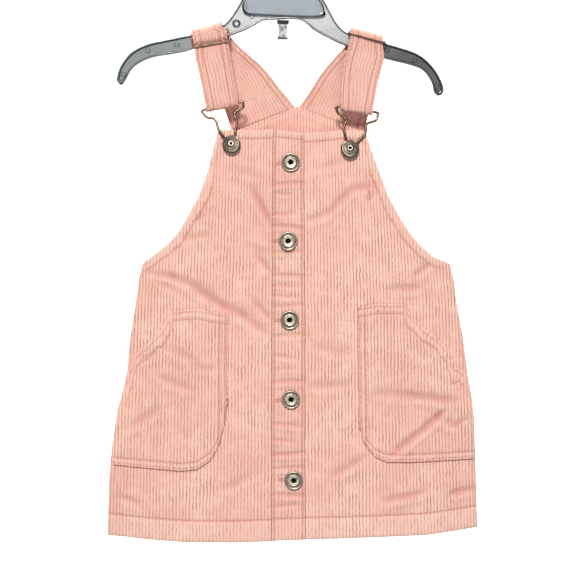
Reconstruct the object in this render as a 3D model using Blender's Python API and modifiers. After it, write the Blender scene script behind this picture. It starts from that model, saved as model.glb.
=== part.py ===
"""Corduroy pinafore dress hanging on a clothes hanger.

Metres, +Z up. The garment's front faces -Y. The origin is the point inside the
hanger's hook that a rail carries. Tables give sizes in millimetres from there.
"""
import math
from collections import namedtuple

import bmesh
import bpy
import numpy as np
from mathutils import Matrix, Vector

MM = 0.001
COLLECTION_NAME = "corduroy_pinafore_dress"

# ---- driving dimensions -------------------------------------------------
CLOTH_WALL = 1.5 * MM           # folded and turned corduroy, without its wales
WALE_RELIEF = 0.6 * MM          # height of a wale over the ground cloth
WALE_PITCH = 3.175 * MM         # eight wales to the inch
PIECE_GAP = 0.3 * MM            # clearance between neighbouring pieces
LAP_GAP = 0.5 * MM              # clearance of a piece that lies on a curved panel
CENTRE_X = 6.8 * MM             # the wale that runs plumb, at the front closure
CROWN_POWER = 3.5               # how flat the hollow between front and back is
HEM_DEPTH = 20.5 * MM           # turned-up hem
HEM_EXTRA = 1.0 * MM            # second layer of the hem, on the inside
HEM_STEP = 1.0 * MM
PANEL_ROWS = 8
BACK_ROWS = 7
POCKET_ROWS = 6
INNER_STRIDE = 8                # outer columns to one inner column

BUTTON_DIAMETER = 17.8 * MM
SHANK_DIAMETER = 5.2 * MM
WIRE_RADIUS = 1.3 * MM         # buckle wire
SLIDER_WIDTH = 38.4 * MM
SLIDER_HEIGHT = 14.4 * MM
SLIDER_BAR = 1.6 * MM
STRAP_WALL = 1.8 * MM
STRAP_RELIEF = 0.5 * MM
STRAP_WALES = 11

HANGER_DEPTH = 7.0 * MM
RIM_CHAMFER = 1.0 * MM
RIM_LAND = 1.0 * MM
RIM_DRAFT = 0.3 * MM
WEB_RECESS = 2.2 * MM
HOOK_RADIUS = 20.0 * MM         # inside of the hook
HOOK_WIRE = 1.8 * MM

# ---- the garment's outline and depth ------------------------------------
Edge = namedtuple("Edge", "z left right")
DRESS_OUTLINE = [
    Edge(-612.0, -171.6, 189.9), Edge(-590.0, -171.1, 189.5), Edge(-555.0, -169.9, 189.3),
    Edge(-520.0, -166.8, 187.9), Edge(-485.0, -161.0, 185.8), Edge(-450.0, -152.3, 180.0),
    Edge(-415.0, -149.4, 175.8), Edge(-380.0, -143.6, 169.4), Edge(-357.0, -140.7, 166.5),
    Edge(-341.4, -137.3, 162.8), Edge(-333.7, -127.1, 145.6), Edge(-322.0, -111.6, 131.9),
    Edge(-310.4, -100.9, 122.2), Edge(-298.8, -94.1, 114.5), Edge(-275.5, -81.5, 101.9),
    Edge(-252.2, -72.8, 93.1), Edge(-229.0, -66.9, 84.4), Edge(-212.0, -63.0, 79.5),
    Edge(-205.0, -61.6, 77.5),
]
SIDE_SEAM = [
    Edge(-612.0, -171.6, 189.9), Edge(-590.0, -171.1, 189.5), Edge(-555.0, -169.9, 188.3),
    Edge(-520.0, -166.8, 186.3), Edge(-485.0, -161.0, 184.3), Edge(-450.0, -152.3, 178.5),
    Edge(-415.0, -149.4, 174.6), Edge(-380.0, -143.6, 167.8), Edge(-357.0, -140.7, 164.9),
    Edge(-341.4, -137.3, 163.4), Edge(-212.0, -131.0, 157.0),
]
Level = namedtuple("Level", "z fan hollow")
LEVELS = [
    Level(-612.0, 1.037, 15.0), Level(-590.0, 1.035, 15.0), Level(-473.0, 1.015, 14.0),
    Level(-376.0, 1.000, 13.5), Level(-328.0, 0.980, 13.0), Level(-212.0, 0.930, 11.5),
]
Line = namedtuple("Line", "x z")
HEM_LINE = [
    Line(-171.0, -605.3), Line(-150.0, -606.3), Line(-127.0, -608.2), Line(-92.0, -610.1),
    Line(-46.0, -610.1), Line(-22.0, -609.2), Line(1.0, -607.2), Line(53.0, -606.3),
    Line(117.0, -604.3), Line(141.0, -603.3), Line(164.0, -600.4), Line(189.4, -597.5),
]
BIB_TOP_LINE = [
    Line(-63.0, -212.0), Line(-10.0, -212.0), Line(18.0, -215.2), Line(32.0, -214.6),
    Line(55.0, -212.2), Line(79.5, -212.4),
]
BACK_PEAK = Line(13.6, -190.3)
BACK_TOP_LINE = [
    Line(-65.1, -212.7), Line(-49.9, -212.7), BACK_PEAK, Line(79.6, -212.7), Line(81.1, -212.7),
]

# ---- pockets ------------------------------------------------------------
RIGHT_POCKET_TOP = [
    Line(-167.0, -470.0), Line(-150.4, -444.3), Line(-144.5, -429.7), Line(-132.9, -420.0),
    Line(-118.3, -404.5), Line(-107.7, -386.1), Line(-82.5, -384.1), Line(-53.4, -389.5),
]
RIGHT_POCKET_BOTTOM = [
    Line(-166.8, -536.4), Line(-98.0, -541.3), Line(-83.4, -539.8), Line(-70.8, -531.6),
    Line(-62.1, -518.0), Line(-56.3, -494.0), Line(-54.6, -477.0),
]
LEFT_POCKET_TOP = [
    Line(72.3, -382.2), Line(91.2, -379.3), Line(117.4, -379.3), Line(122.2, -387.0),
    Line(136.8, -403.5), Line(149.4, -412.7), Line(160.1, -423.9), Line(166.8, -438.4),
    Line(178.5, -449.1), Line(186.0, -470.0),
]
LEFT_POCKET_BOTTOM = [
    Line(73.6, -495.0), Line(75.7, -505.4), Line(79.6, -517.0), Line(89.2, -527.7),
    Line(99.9, -532.5), Line(120.3, -533.0), Line(187.7, -530.6),
]

# ---- wale numbers at which the pieces begin and end -----------------------
RIGHT_SEAM_WALE = -54.0
LEFT_SEAM_WALE = 55.5
PLACKET_SEAM_WALE = -5.5
PLACKET_EDGE_WALE = 4.5
RIGHT_POCKET_WALES = (-53.0, -19.0)
LEFT_POCKET_WALES = (20.5, 55.0)

FRONT = -1.0
BACK = 1.0

# ---- buttons and buckles --------------------------------------------------
Spot = namedtuple("Spot", "name x z")
PLACKET_BUTTONS = [
    Spot("placket_button_1", 7.5, -243.9), Spot("placket_button_2", 5.0, -319.6),
    Spot("placket_button_3", 6.4, -395.6), Spot("placket_button_4", 7.8, -471.9),
    Spot("placket_button_5", 10.4, -549.5),
]
BIB_BUTTONS = [Spot("bib_button_right", -49.9, -226.1), Spot("bib_button_left", 64.6, -230.5)]
PLACKET_NECK = 0.8 * MM
BIB_NECK = 3.6 * MM             # longer neck, which the buckle's wire goes round

# ---- straps: a row for each section, seen from the front --------------------
# lx, lz and rx, rz are the section's two edges, y is the middle of the cloth.
Section = namedtuple("Section", "lx lz rx rz y")
# On the hanger's arm a section is given by y and by its rise over the arm's top.
Over = namedtuple("Over", "y rise")
# Between an adjuster's bars it is given from the middle bar, along the slanting strap.
Strap = namedtuple("Strap", "name back arm over adjuster slant threading front bar bar_y tail")
RIGHT_STRAP = Strap(
    name="strap_right",
    back=[
        Section(-50.1, -211.3, 12.5, -187.6, 12.4), Section(-59.6, -183.6, -2.0, -169.9, 11.0),
        Section(-71.8, -158.4, -20.7, -147.1, 9.0), Section(-82.0, -138.2, -41.2, -129.3, 6.6),
        Section(-88.2, -123.7, -55.4, -115.0, 5.0),
    ],
    arm=Section(-88.9, -117.2, -59.2, -109.0, 0.0),
    over=[
        Over(4.8, -2.6), Over(4.6, -0.2), Over(3.7, 1.5), Over(2.2, 2.1), Over(-1.0, 2.3),
        Over(-4.4, 2.5), Over(-7.2, 1.9), Over(-9.2, 0.0), Over(-10.2, -2.6),
    ],
    adjuster=Section(-87.1, -125.4, -54.1, -119.6, 0.0),
    slant=-0.18,
    threading=[
        Over(-10.5, 4.0), Over(-10.8, 2.0), Over(-11.1, 0.0), Over(-10.5, -1.9), Over(-9.0, -3.2),
        Over(-7.4, -4.6), Over(-6.9, -7.3),
    ],
    front=[
        Section(-85.2, -139.7, -51.6, -133.9, -7.3),
        Section(-81.0, -158.1, -48.3, -153.3, -10.0), Section(-76.4, -180.4, -44.6, -175.6, -13.6),
    ],
    bar=Section(-74.3, -191.9, -43.1, -185.3, 0.0),
    bar_y=-12.6,
    tail=[
        Section(-76.4, -180.4, -44.6, -175.6, -10.2), Section(-81.0, -158.1, -48.3, -153.3, -7.6),
        Section(-85.2, -139.7, -51.6, -133.9, -5.0), Section(-86.0, -133.9, -52.4, -127.6, -4.75),
    ],
)
LEFT_STRAP = Strap(
    name="strap_left",
    back=[
        Section(14.9, -187.6, 79.7, -212.3, 12.4), Section(25.5, -172.9, 86.5, -182.7, 11.0),
        Section(37.3, -154.4, 91.8, -161.3, 9.0), Section(52.9, -136.2, 96.5, -143.1, 6.6),
        Section(64.1, -123.7, 99.4, -133.0, 5.0),
    ],
    arm=Section(65.7, -116.4, 96.9, -124.8, 0.0),
    over=[
        Over(4.9, -4.4), Over(4.8, -1.6), Over(4.2, 1.4), Over(2.8, 3.7), Over(0.4, 4.9),
        Over(-2.4, 5.2), Over(-5.0, 4.9), Over(-7.0, 3.6), Over(-8.1, 1.2), Over(-8.0, -1.4),
        Over(-7.6, -4.2), Over(-7.2, -7.5),
    ],
    adjuster=None,
    slant=0.0,
    threading=[],
    front=[
        Section(62.9, -131.9, 98.2, -140.7, -7.2), Section(59.2, -144.5, 95.5, -152.3, -8.6),
        Section(56.7, -163.0, 91.4, -167.8, -11.3), Section(55.6, -180.4, 88.5, -184.3, -14.2),
    ],
    bar=Section(55.3, -189.6, 86.6, -194.3, 0.0),
    bar_y=-12.7,
    tail=[
        Section(55.6, -180.4, 88.5, -184.3, -10.6), Section(56.7, -163.0, 91.4, -167.8, -8.4),
        Section(59.2, -144.5, 95.5, -152.3, -6.1), Section(62.9, -131.9, 98.2, -140.7, -5.0),
        Section(65.0, -121.2, 97.5, -130.2, -4.75),
    ],
)
FOLD_ANGLES = (0, 45, 90, 135, 180)

# ---- adjusters: the middle of each bar, seen from the front -----------------
Bar = namedtuple("Bar", "x z y")
Slider = namedtuple("Slider", "name middle lower across")
# lower is the middle of the lower bar; across is the rise of a bar along its length
RIGHT_SLIDER = Slider("slider_right", Bar(-70.4, -122.5, -8.6), Bar(-69.4, -128.7, -9.6), 0.17)
LEFT_SLIDER = Slider("slider_left", Bar(81.7, -121.0, -5.2), Bar(81.7, -122.9, -11.3), -0.285)

# ---- buckles: the wire's route, seen from the front -------------------------
Wire = namedtuple("Wire", "x z y")
RIGHT_BUCKLE = [
    Wire(-75.7, -192.2, -12.6), Wire(-42.3, -185.1, -12.6), Wire(-38.7, -186.6, -12.7),
    Wire(-38.9, -190.5, -12.9), Wire(-44.4, -193.6, -13.1), Wire(-47.0, -197.0, -13.4),
    Wire(-45.4, -201.0, -13.9), Wire(-44.3, -205.4, -14.4), Wire(-45.2, -210.0, -14.9),
    Wire(-46.0, -215.6, -15.6), Wire(-45.1, -221.6, -15.7), Wire(-44.8, -227.0, -15.7),
    Wire(-49.9, -231.2, -15.7), Wire(-55.0, -227.6, -15.7), Wire(-55.5, -221.8, -15.7),
    Wire(-60.1, -215.3, -15.6), Wire(-62.9, -210.0, -15.0), Wire(-64.0, -204.7, -14.4),
    Wire(-67.4, -201.1, -13.8), Wire(-72.7, -200.1, -13.4), Wire(-76.0, -197.4, -13.0),
]
LEFT_BUCKLE = [
    Wire(54.2, -189.5, -12.7), Wire(88.3, -194.6, -12.7), Wire(91.4, -197.9, -12.9),
    Wire(89.8, -202.9, -13.4), Wire(83.9, -205.0, -13.9), Wire(80.2, -207.3, -14.4),
    Wire(80.3, -211.5, -15.0), Wire(78.6, -217.3, -15.6), Wire(73.0, -223.0, -15.7),
    Wire(69.8, -228.4, -15.7), Wire(69.5, -232.9, -15.7), Wire(64.8, -235.6, -15.7),
    Wire(59.8, -232.6, -15.7), Wire(59.6, -227.4, -15.7), Wire(60.6, -221.6, -15.6),
    Wire(59.6, -216.0, -15.4), Wire(58.7, -211.0, -14.9), Wire(59.7, -206.6, -14.4),
    Wire(61.2, -203.0, -14.0), Wire(58.0, -199.4, -13.5), Wire(53.6, -196.0, -13.1),
    Wire(51.9, -191.8, -12.9),
]

# ---- the hanger ---------------------------------------------------------------
HANGER_OUTLINE = [
    Line(-60.4, -109.9), Line(-99.5, -119.8), Line(-120.1, -124.1), Line(-133.7, -127.6),
    Line(-148.3, -135.4), Line(-158.1, -148.1), Line(-161.5, -157.8), Line(-162.0, -162.7),
    Line(-157.6, -167.0), Line(-152.7, -160.8), Line(-147.0, -151.0), Line(-136.7, -143.6),
    Line(-124.0, -139.3), Line(-105.5, -136.3), Line(-89.8, -132.5), Line(-43.0, -115.9),
    Line(-29.3, -109.5), Line(-21.5, -105.1), Line(-13.7, -103.6), Line(15.6, -103.2),
    Line(30.2, -113.5), Line(45.3, -121.7), Line(60.4, -128.6), Line(99.5, -141.2),
    Line(124.9, -147.7), Line(136.6, -152.9), Line(144.4, -163.4), Line(147.3, -173.8),
    Line(152.2, -177.4), Line(156.6, -172.4), Line(153.2, -160.8), Line(144.4, -147.7),
    Line(129.7, -136.0), Line(99.5, -126.2), Line(63.8, -116.3), Line(52.7, -106.8),
    Line(46.2, -95.4), Line(39.7, -83.7), Line(21.4, -62.2), Line(6.8, -56.3),
    Line(-6.9, -56.3), Line(-24.5, -64.2), Line(-41.0, -83.7), Line(-42.6, -87.5),
]
PLATE_OUTLINE = [
    Line(-39.8, -90.8), Line(-36.3, -98.0), Line(-22.5, -99.3), Line(35.0, -101.0),
    Line(40.0, -93.5), Line(34.2, -82.3), Line(20.1, -66.2), Line(-21.2, -67.7), Line(-36.3, -84.3),
]
PLATE_WALL = 1.4 * MM
CLIP_OUTLINE = [
    Line(-5.9, -103.8), Line(5.8, -103.8), Line(5.8, -106.8), Line(4.6, -107.9),
    Line(3.9, -118.1), Line(4.6, -119.1), Line(4.6, -122.4), Line(-5.3, -122.4),
    Line(-5.3, -119.1), Line(-4.5, -118.1), Line(-4.7, -107.9), Line(-5.9, -106.8),
]
CLIP_DEPTH = 5.0 * MM
HOOK_START = -50.0              # degrees below level where the shank meets the hook's bow
HOOK_END = 215.0
HOOK_STEPS = 15
HOOK_SHANK = [Line(0.0, -56.0), Line(0.0, -50.0), Line(2.5, -45.2), Line(7.5, -41.2)]


def column(rows, name, scale=MM):
    """One named column of a table, in metres."""
    return [getattr(row, name) * scale for row in rows]


def read(rows, key, name, at, scale=MM):
    """The value of a named column where the key column has the value at."""
    keys = column(rows, key)
    order = np.argsort(keys)
    values = column(rows, name, scale)
    return float(np.interp(at, np.array(keys)[order], np.array(values)[order]))


def wale_x(wale, z):
    """Where a wale, counted from the front closure, runs at a height."""
    return CENTRE_X + wale * WALE_PITCH * read(LEVELS, "z", "fan", z, 1.0)


def hollow(x, z):
    """Distance of the cloth's inner face from the plane between front and back."""
    left = read(SIDE_SEAM, "z", "left", z)
    right = read(SIDE_SEAM, "z", "right", z)
    across = min(max((x - left) / (right - left), 0.0), 1.0)
    crown = 1.0 - abs(2.0 * across - 1.0) ** CROWN_POWER
    return PIECE_GAP / 2 + read(LEVELS, "z", "hollow", z) * crown


def meet(wale, start_z, inside):
    """Climb a wale from start_z to where inside(x, z) stops being true."""
    low = start_z
    high = -185.0 * MM
    for _ in range(40):
        middle = (low + high) / 2
        if inside(wale_x(wale, middle), middle):
            low = middle
        else:
            high = middle
    return low


def hem_z(wale):
    """Height of the hem's edge at a wale."""
    return read(HEM_LINE, "x", "z", wale_x(wale, -600.0 * MM))


def under(top_line):
    """A test for points below a top line and within the garment's outline."""
    def inside(x, z):
        if not read(DRESS_OUTLINE, "z", "left", z) <= x <= read(DRESS_OUTLINE, "z", "right", z):
            return False
        return z <= read(top_line, "x", "z", x)
    return inside


def wale_columns(first, last):
    """Wale numbers half a wale apart: whole numbers are crests, halves are grooves."""
    count = round((last - first) * 2) + 1
    return [first + step / 2 for step in range(count)]


def crest(wale):
    """One on top of a wale, nothing in the groove."""
    return 1.0 if abs(wale - round(wale)) < 0.25 else 0.0


# ---- building closed walls --------------------------------------------------
def sheet(bm, columns, rows, place):
    """A grid whose point (column, row) lies at place(column, row)."""
    made = bmesh.ops.create_grid(bm, x_segments=columns - 1, y_segments=rows - 1, size=1.0)
    points = [[None] * rows for _ in range(columns)]
    for vertex in made["verts"]:
        across = round((vertex.co.x + 1.0) / 2.0 * (columns - 1))
        along = round((vertex.co.y + 1.0) / 2.0 * (rows - 1))
        points[across][along] = vertex
    for across, line in enumerate(points):
        for along, vertex in enumerate(line):
            vertex.co = place(across, along)
    return points


def distances(vertices):
    """Length from the first vertex to each one, as a share of the whole."""
    total = [0.0]
    for before, after in zip(vertices, vertices[1:]):
        total.append(total[-1] + (after.co - before.co).length)
    return [value / total[-1] for value in total]


def lace(bm, first, second):
    """Close the strip between two edges that have unlike numbers of points."""
    first_at = distances(first)
    second_at = distances(second)
    i = 0
    j = 0
    while i < len(first) - 1 or j < len(second) - 1:
        step_first = j == len(second) - 1
        if not step_first and i < len(first) - 1:
            step_first = first_at[i + 1] <= second_at[j + 1]
        if step_first:
            bm.faces.new((first[i], second[j], first[i + 1]))
            i += 1
        else:
            bm.faces.new((first[i], second[j], second[j + 1]))
            j += 1


def close_wall(bm, outer, inner):
    """Join the four edges of an outer sheet to those of an inner one."""
    lace(bm, outer[0], inner[0])
    lace(bm, outer[-1], inner[-1])
    lace(bm, [line[0] for line in outer], [line[0] for line in inner])
    lace(bm, [line[-1] for line in outer], [line[-1] for line in inner])
    bmesh.ops.recalc_face_normals(bm, faces=bm.faces[:])


# ---- collections, materials, objects ---------------------------------------
def clear_scene():
    """Start from an empty file."""
    for item in list(bpy.data.objects):
        bpy.data.objects.remove(item, do_unlink=True)
    parts = bpy.data.collections.new(COLLECTION_NAME)
    bpy.context.scene.collection.children.link(parts)
    return parts


def material(name, colour, roughness, metallic=0.0):
    """A Principled material for one part."""
    made = bpy.data.materials.new(name)
    made.use_nodes = True
    shader = made.node_tree.nodes["Principled BSDF"]
    shader.inputs["Base Color"].default_value = (*colour, 1.0)
    shader.inputs["Roughness"].default_value = roughness
    shader.inputs["Metallic"].default_value = metallic
    return made


FINISHES = {
    "corduroy": ((0.86, 0.50, 0.41), 0.9, 0.0),
    "nickel": ((0.30, 0.27, 0.21), 0.35, 1.0),
    "copper": ((0.33, 0.20, 0.14), 0.35, 1.0),
    "plastic": ((0.12, 0.12, 0.12), 0.25, 0.0),
}


def add_object(parts, name, data, finish, smooth=False):
    """Link a named object with its own material to the part's collection."""
    made = bpy.data.objects.new(name, data)
    parts.objects.link(made)
    data.materials.append(material(name + "_" + finish, *FINISHES[finish]))
    if smooth:
        data.shade_smooth()
        data.set_sharp_from_angle(angle=math.radians(35))
    return made


def add_mesh(parts, name, bm, finish, smooth=False):
    """Turn a bmesh into a named object."""
    data = bpy.data.meshes.new(name)
    bm.to_mesh(data)
    bm.free()
    return add_object(parts, name, data, finish, smooth)


# ---- cloth panels -------------------------------------------------------------
def panel(parts, name, face, wales, bottom, top, lift=0.0, rows=PANEL_ROWS, hem=False, inset=0.0):
    """A ribbed wall on the garment's surface.

    face is FRONT or BACK, wales the numbers of its columns, bottom and top give
    the heights at which a column begins and ends, lift is how far the piece lies
    out from the cloth under it, and inset moves the first column in.
    """
    bm = bmesh.new()
    spans = [(bottom(wale), top(wale)) for wale in wales]

    def point(index, z, outward):
        wale = wales[index]
        x = wale_x(wale, z)
        if index == 0:
            x += inset
        return Vector((x, face * (hollow(x, z) + outward), z))

    def outer_place(index, row):
        low, high = spans[index]
        z = low + (high - low) * row / (rows - 1)
        return point(index, z, lift + CLOTH_WALL + WALE_RELIEF * crest(wales[index]))

    strides = list(range(0, len(wales) - 1, INNER_STRIDE))
    if len(wales) - 1 - strides[-1] < INNER_STRIDE / 2 and len(strides) > 1:
        strides.pop()
    strides.append(len(wales) - 1)

    def inner_heights(low, high):
        if not hem:
            return [low + (high - low) * step / (rows - 1) for step in range(rows)]
        band = low + HEM_DEPTH
        start = band + HEM_STEP
        above = [start + (high - start) * step / (rows - 2) for step in range(rows - 1)]
        return [low, band] + above

    def inner_place(step, row):
        index = strides[step]
        z = inner_heights(*spans[index])[row]
        placed = point(index, z, lift)
        if hem and row < 2:
            depth = max(PIECE_GAP / 2, abs(placed.y) - HEM_EXTRA)
            placed.y = face * depth
        return placed

    outer = sheet(bm, len(wales), rows, outer_place)
    inner = sheet(bm, len(strides), len(inner_heights(*spans[0])), inner_place)
    close_wall(bm, outer, inner)
    return add_mesh(parts, name, bm, "corduroy")


def line_at(line):
    """Height of a hand-drawn line where a wale crosses it."""
    def height(wale):
        z = line[len(line) // 2].z * MM
        for _ in range(4):
            z = read(line, "x", "z", wale_x(wale, z))
        return z
    return height


def capped(line):
    """The line's height, or the garment's side where that comes first."""
    height = line_at(line)

    def lower(wale):
        return min(height(wale), meet(wale, hem_z(wale), under(BIB_TOP_LINE)))
    return lower


def make_cloth_body(parts):
    """Fronts, placket, back and pockets."""
    on_cloth = CLOTH_WALL + WALE_RELIEF + LAP_GAP

    def front_top(wale):
        return meet(wale, hem_z(wale), under(BIB_TOP_LINE))

    def back_top(wale):
        return meet(wale, hem_z(wale), under(BACK_TOP_LINE))

    panel(parts, "right_front", FRONT, wale_columns(RIGHT_SEAM_WALE, PLACKET_SEAM_WALE),
          hem_z, front_top, hem=True)
    panel(parts, "left_front", FRONT, wale_columns(PLACKET_SEAM_WALE, LEFT_SEAM_WALE),
          hem_z, front_top, hem=True, inset=PIECE_GAP)
    panel(parts, "placket", FRONT, wale_columns(PLACKET_SEAM_WALE, PLACKET_EDGE_WALE),
          hem_z, front_top, lift=on_cloth)
    panel(parts, "back_panel", BACK, wale_columns(RIGHT_SEAM_WALE, LEFT_SEAM_WALE),
          hem_z, back_top, rows=BACK_ROWS, hem=True)
    panel(parts, "pocket_right", FRONT, wale_columns(*RIGHT_POCKET_WALES),
          line_at(RIGHT_POCKET_BOTTOM), capped(RIGHT_POCKET_TOP), lift=on_cloth, rows=POCKET_ROWS)
    panel(parts, "pocket_left", FRONT, wale_columns(*LEFT_POCKET_WALES),
          line_at(LEFT_POCKET_BOTTOM), capped(LEFT_POCKET_TOP), lift=on_cloth, rows=POCKET_ROWS)


# ---- straps -------------------------------------------------------------------
def section_edges(section):
    """The two edge points of a section."""
    left = Vector((section.lx, section.y, section.lz)) * MM
    right = Vector((section.rx, section.y, section.rz)) * MM
    return left, right


def raised(base, y, rise, slant=0.0):
    """A section above a line across the strap, such as an arm's top or a bar."""
    aside = rise * slant
    return Section(base.lx + aside, base.lz + rise, base.rx + aside, base.rz + rise, y)


def strap_sections(strap):
    """All sections from the back seam over the arm and round the bar to the free end."""
    turn = (WIRE_RADIUS + PIECE_GAP + STRAP_WALL / 2) / MM
    sections = [(row, 1.0) for row in strap.back]
    sections += [(raised(strap.arm, row.y, row.rise), 1.0) for row in strap.over]
    for row in strap.threading:
        sections.append((raised(strap.adjuster, row.y, row.rise, strap.slant), 1.0))
    sections += [(row, 1.0) for row in strap.front]
    for degrees in FOLD_ANGLES:
        angle = math.radians(degrees)
        y = strap.bar_y - turn * math.cos(angle)
        relief = 1.0 if degrees < 90 else 0.0
        sections.append((raised(strap.bar, y, -turn * math.sin(angle)), relief))
    sections += [(row, 0.0) for row in strap.tail]
    return sections


def make_strap(parts, strap):
    """A band swept through its sections, with its wales on the outer face."""
    rows = strap_sections(strap)
    edges = [section_edges(row) for row, _ in rows]
    middles = [(left + right) / 2 for left, right in edges]
    normals = []
    for index, (left, right) in enumerate(edges):
        before = middles[max(index - 1, 0)]
        after = middles[min(index + 1, len(middles) - 1)]
        normals.append((after - before).cross(right - left).normalized())
    columns = 2 * STRAP_WALES + 1

    def outer_place(index, row):
        left, right = edges[row]
        relief = rows[row][1] * STRAP_RELIEF * (index % 2)
        return left.lerp(right, index / (columns - 1)) + normals[row] * (STRAP_WALL / 2 + relief)

    def inner_place(index, row):
        left, right = edges[row]
        return left.lerp(right, index / 2) - normals[row] * STRAP_WALL / 2

    bm = bmesh.new()
    outer = sheet(bm, columns, len(rows), outer_place)
    inner = sheet(bm, 3, len(rows), inner_place)
    close_wall(bm, outer, inner)
    add_mesh(parts, strap.name, bm, "corduroy")


# ---- metal ----------------------------------------------------------------------
def flat_curve(name, outlines, depth):
    """A flat outline with holes, as thick as depth, in the XY plane."""
    data = bpy.data.curves.new(name, "CURVE")
    data.dimensions = "2D"
    data.fill_mode = "BOTH"
    data.extrude = depth / 2
    for outline in outlines:
        spline = data.splines.new("POLY")
        spline.points.add(len(outline) - 1)
        for point, (x, y) in zip(spline.points, outline):
            point.co = (x, y, 0.0, 1.0)
        spline.use_cyclic_u = True
    return data


def rounded_rectangle(x0, y0, x1, y1, radius, steps=3):
    """Points round a rectangle with arcs at its corners."""
    points = []
    corners = [(x1 - radius, y1 - radius, 0), (x0 + radius, y1 - radius, 90),
               (x0 + radius, y0 + radius, 180), (x1 - radius, y0 + radius, 270)]
    for x, y, start in corners:
        for step in range(steps + 1):
            angle = math.radians(start + 90 * step / steps)
            points.append((x + radius * math.cos(angle), y + radius * math.sin(angle)))
    return points


def make_slider(parts, slider):
    """Three-bar adjuster, tilted so that each bar clears the strap."""
    middle = Vector((slider.middle.x, slider.middle.y, slider.middle.z)) * MM
    lower = Vector((slider.lower.x, slider.lower.y, slider.lower.z)) * MM
    along = Vector((1.0, 0.0, slider.across)).normalized()
    up = middle - lower
    up = (up - along * up.dot(along)).normalized()
    half = SLIDER_HEIGHT / 2
    side = SLIDER_WIDTH / 2
    outline = rounded_rectangle(-side, -half, side, half, 2.0 * MM)
    window = side - SLIDER_BAR
    holes = [
        rounded_rectangle(-window, SLIDER_BAR / 2, window, half - SLIDER_BAR, 0.8 * MM, 2),
        rounded_rectangle(-window, SLIDER_BAR - half, window, -SLIDER_BAR / 2, 0.8 * MM, 2),
    ]
    data = flat_curve(slider.name, [outline] + holes, SLIDER_BAR)
    made = add_object(parts, slider.name, data, "copper")
    turn = Matrix((along, up, along.cross(up))).transposed().to_4x4()
    made.matrix_world = Matrix.Translation(middle) @ turn


def make_wire(parts, name, route, radius, finish, closed, resolution=1):
    """A round wire along hand-placed points."""
    data = bpy.data.curves.new(name, "CURVE")
    data.dimensions = "3D"
    data.bevel_depth = radius
    data.bevel_resolution = resolution
    data.use_fill_caps = not closed
    spline = data.splines.new("POLY")
    spline.points.add(len(route) - 1)
    for point, place in zip(spline.points, route):
        point.co = (*place, 1.0)
    spline.use_cyclic_u = closed
    return add_object(parts, name, data, finish)


def smooth_loop(points, corners, steps=2):
    """A Catmull-Rom curve round a closed route that keeps its straight bar."""
    places = [Vector(point) for point in points]
    count = len(places)
    route = []
    for index in range(count):
        before, start = places[index - 1], places[index]
        end, after = places[(index + 1) % count], places[(index + 2) % count]
        route.append(start)
        if index in corners:
            continue
        for step in range(1, steps):
            t = step / steps
            bend = (end - before) * t + (2 * before - 5 * start + 4 * end - after) * t ** 2
            bend += (3 * start - before - 3 * end + after) * t ** 3
            route.append(start + bend / 2)
    return route


def make_buckle(parts, name, rows):
    """Wire buckle: a bar in the strap's fold and a loop round the button's neck."""
    points = [(row.x * MM, row.y * MM, row.z * MM) for row in rows]
    make_wire(parts, name, smooth_loop(points, corners=(0,)), WIRE_RADIUS, "copper", True)


def make_button(parts, spot, lift, neck):
    """A turned metal button: a dished cap on a neck."""
    x = spot.x * MM
    z = spot.z * MM
    radius = BUTTON_DIAMETER / 2
    top = neck + 2.4 * MM
    profile = [
        (0.0, top - 0.7 * MM), (radius * 0.62, top - 0.7 * MM), (radius * 0.74, top),
        (radius, top - 0.4 * MM), (radius, neck + 0.4 * MM), (radius * 0.9, neck),
        (SHANK_DIAMETER / 2, neck), (SHANK_DIAMETER / 2, 0.0), (0.0, 0.0),
    ]
    bm = bmesh.new()
    line = [bm.verts.new((across, 0.0, height)) for across, height in profile]
    for start, end in zip(line, line[1:]):
        bm.edges.new((start, end))
    data = bpy.data.meshes.new(spot.name)
    bm.to_mesh(data)
    bm.free()
    made = add_object(parts, spot.name, data, "nickel")
    turned = made.modifiers.new("turned", "SCREW")
    turned.steps = 16
    turned.render_steps = 16
    turned.use_merge_vertices = True
    turned.merge_threshold = 0.00005
    turned.use_smooth_shade = True
    surface = -(hollow(x, z) + lift + CLOTH_WALL + WALE_RELIEF + PIECE_GAP)
    made.location = (x, surface, z)
    made.rotation_euler = (math.radians(90), 0.0, 0.0)


def make_metal(parts):
    """Buttons, buckles and adjusters."""
    on_cloth = CLOTH_WALL + WALE_RELIEF + LAP_GAP
    for spot in PLACKET_BUTTONS:
        make_button(parts, spot, on_cloth, PLACKET_NECK)
    for spot in BIB_BUTTONS:
        make_button(parts, spot, 0.0, BIB_NECK)
    make_buckle(parts, "buckle_right", RIGHT_BUCKLE)
    make_buckle(parts, "buckle_left", LEFT_BUCKLE)
    make_slider(parts, RIGHT_SLIDER)
    make_slider(parts, LEFT_SLIDER)


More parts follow.
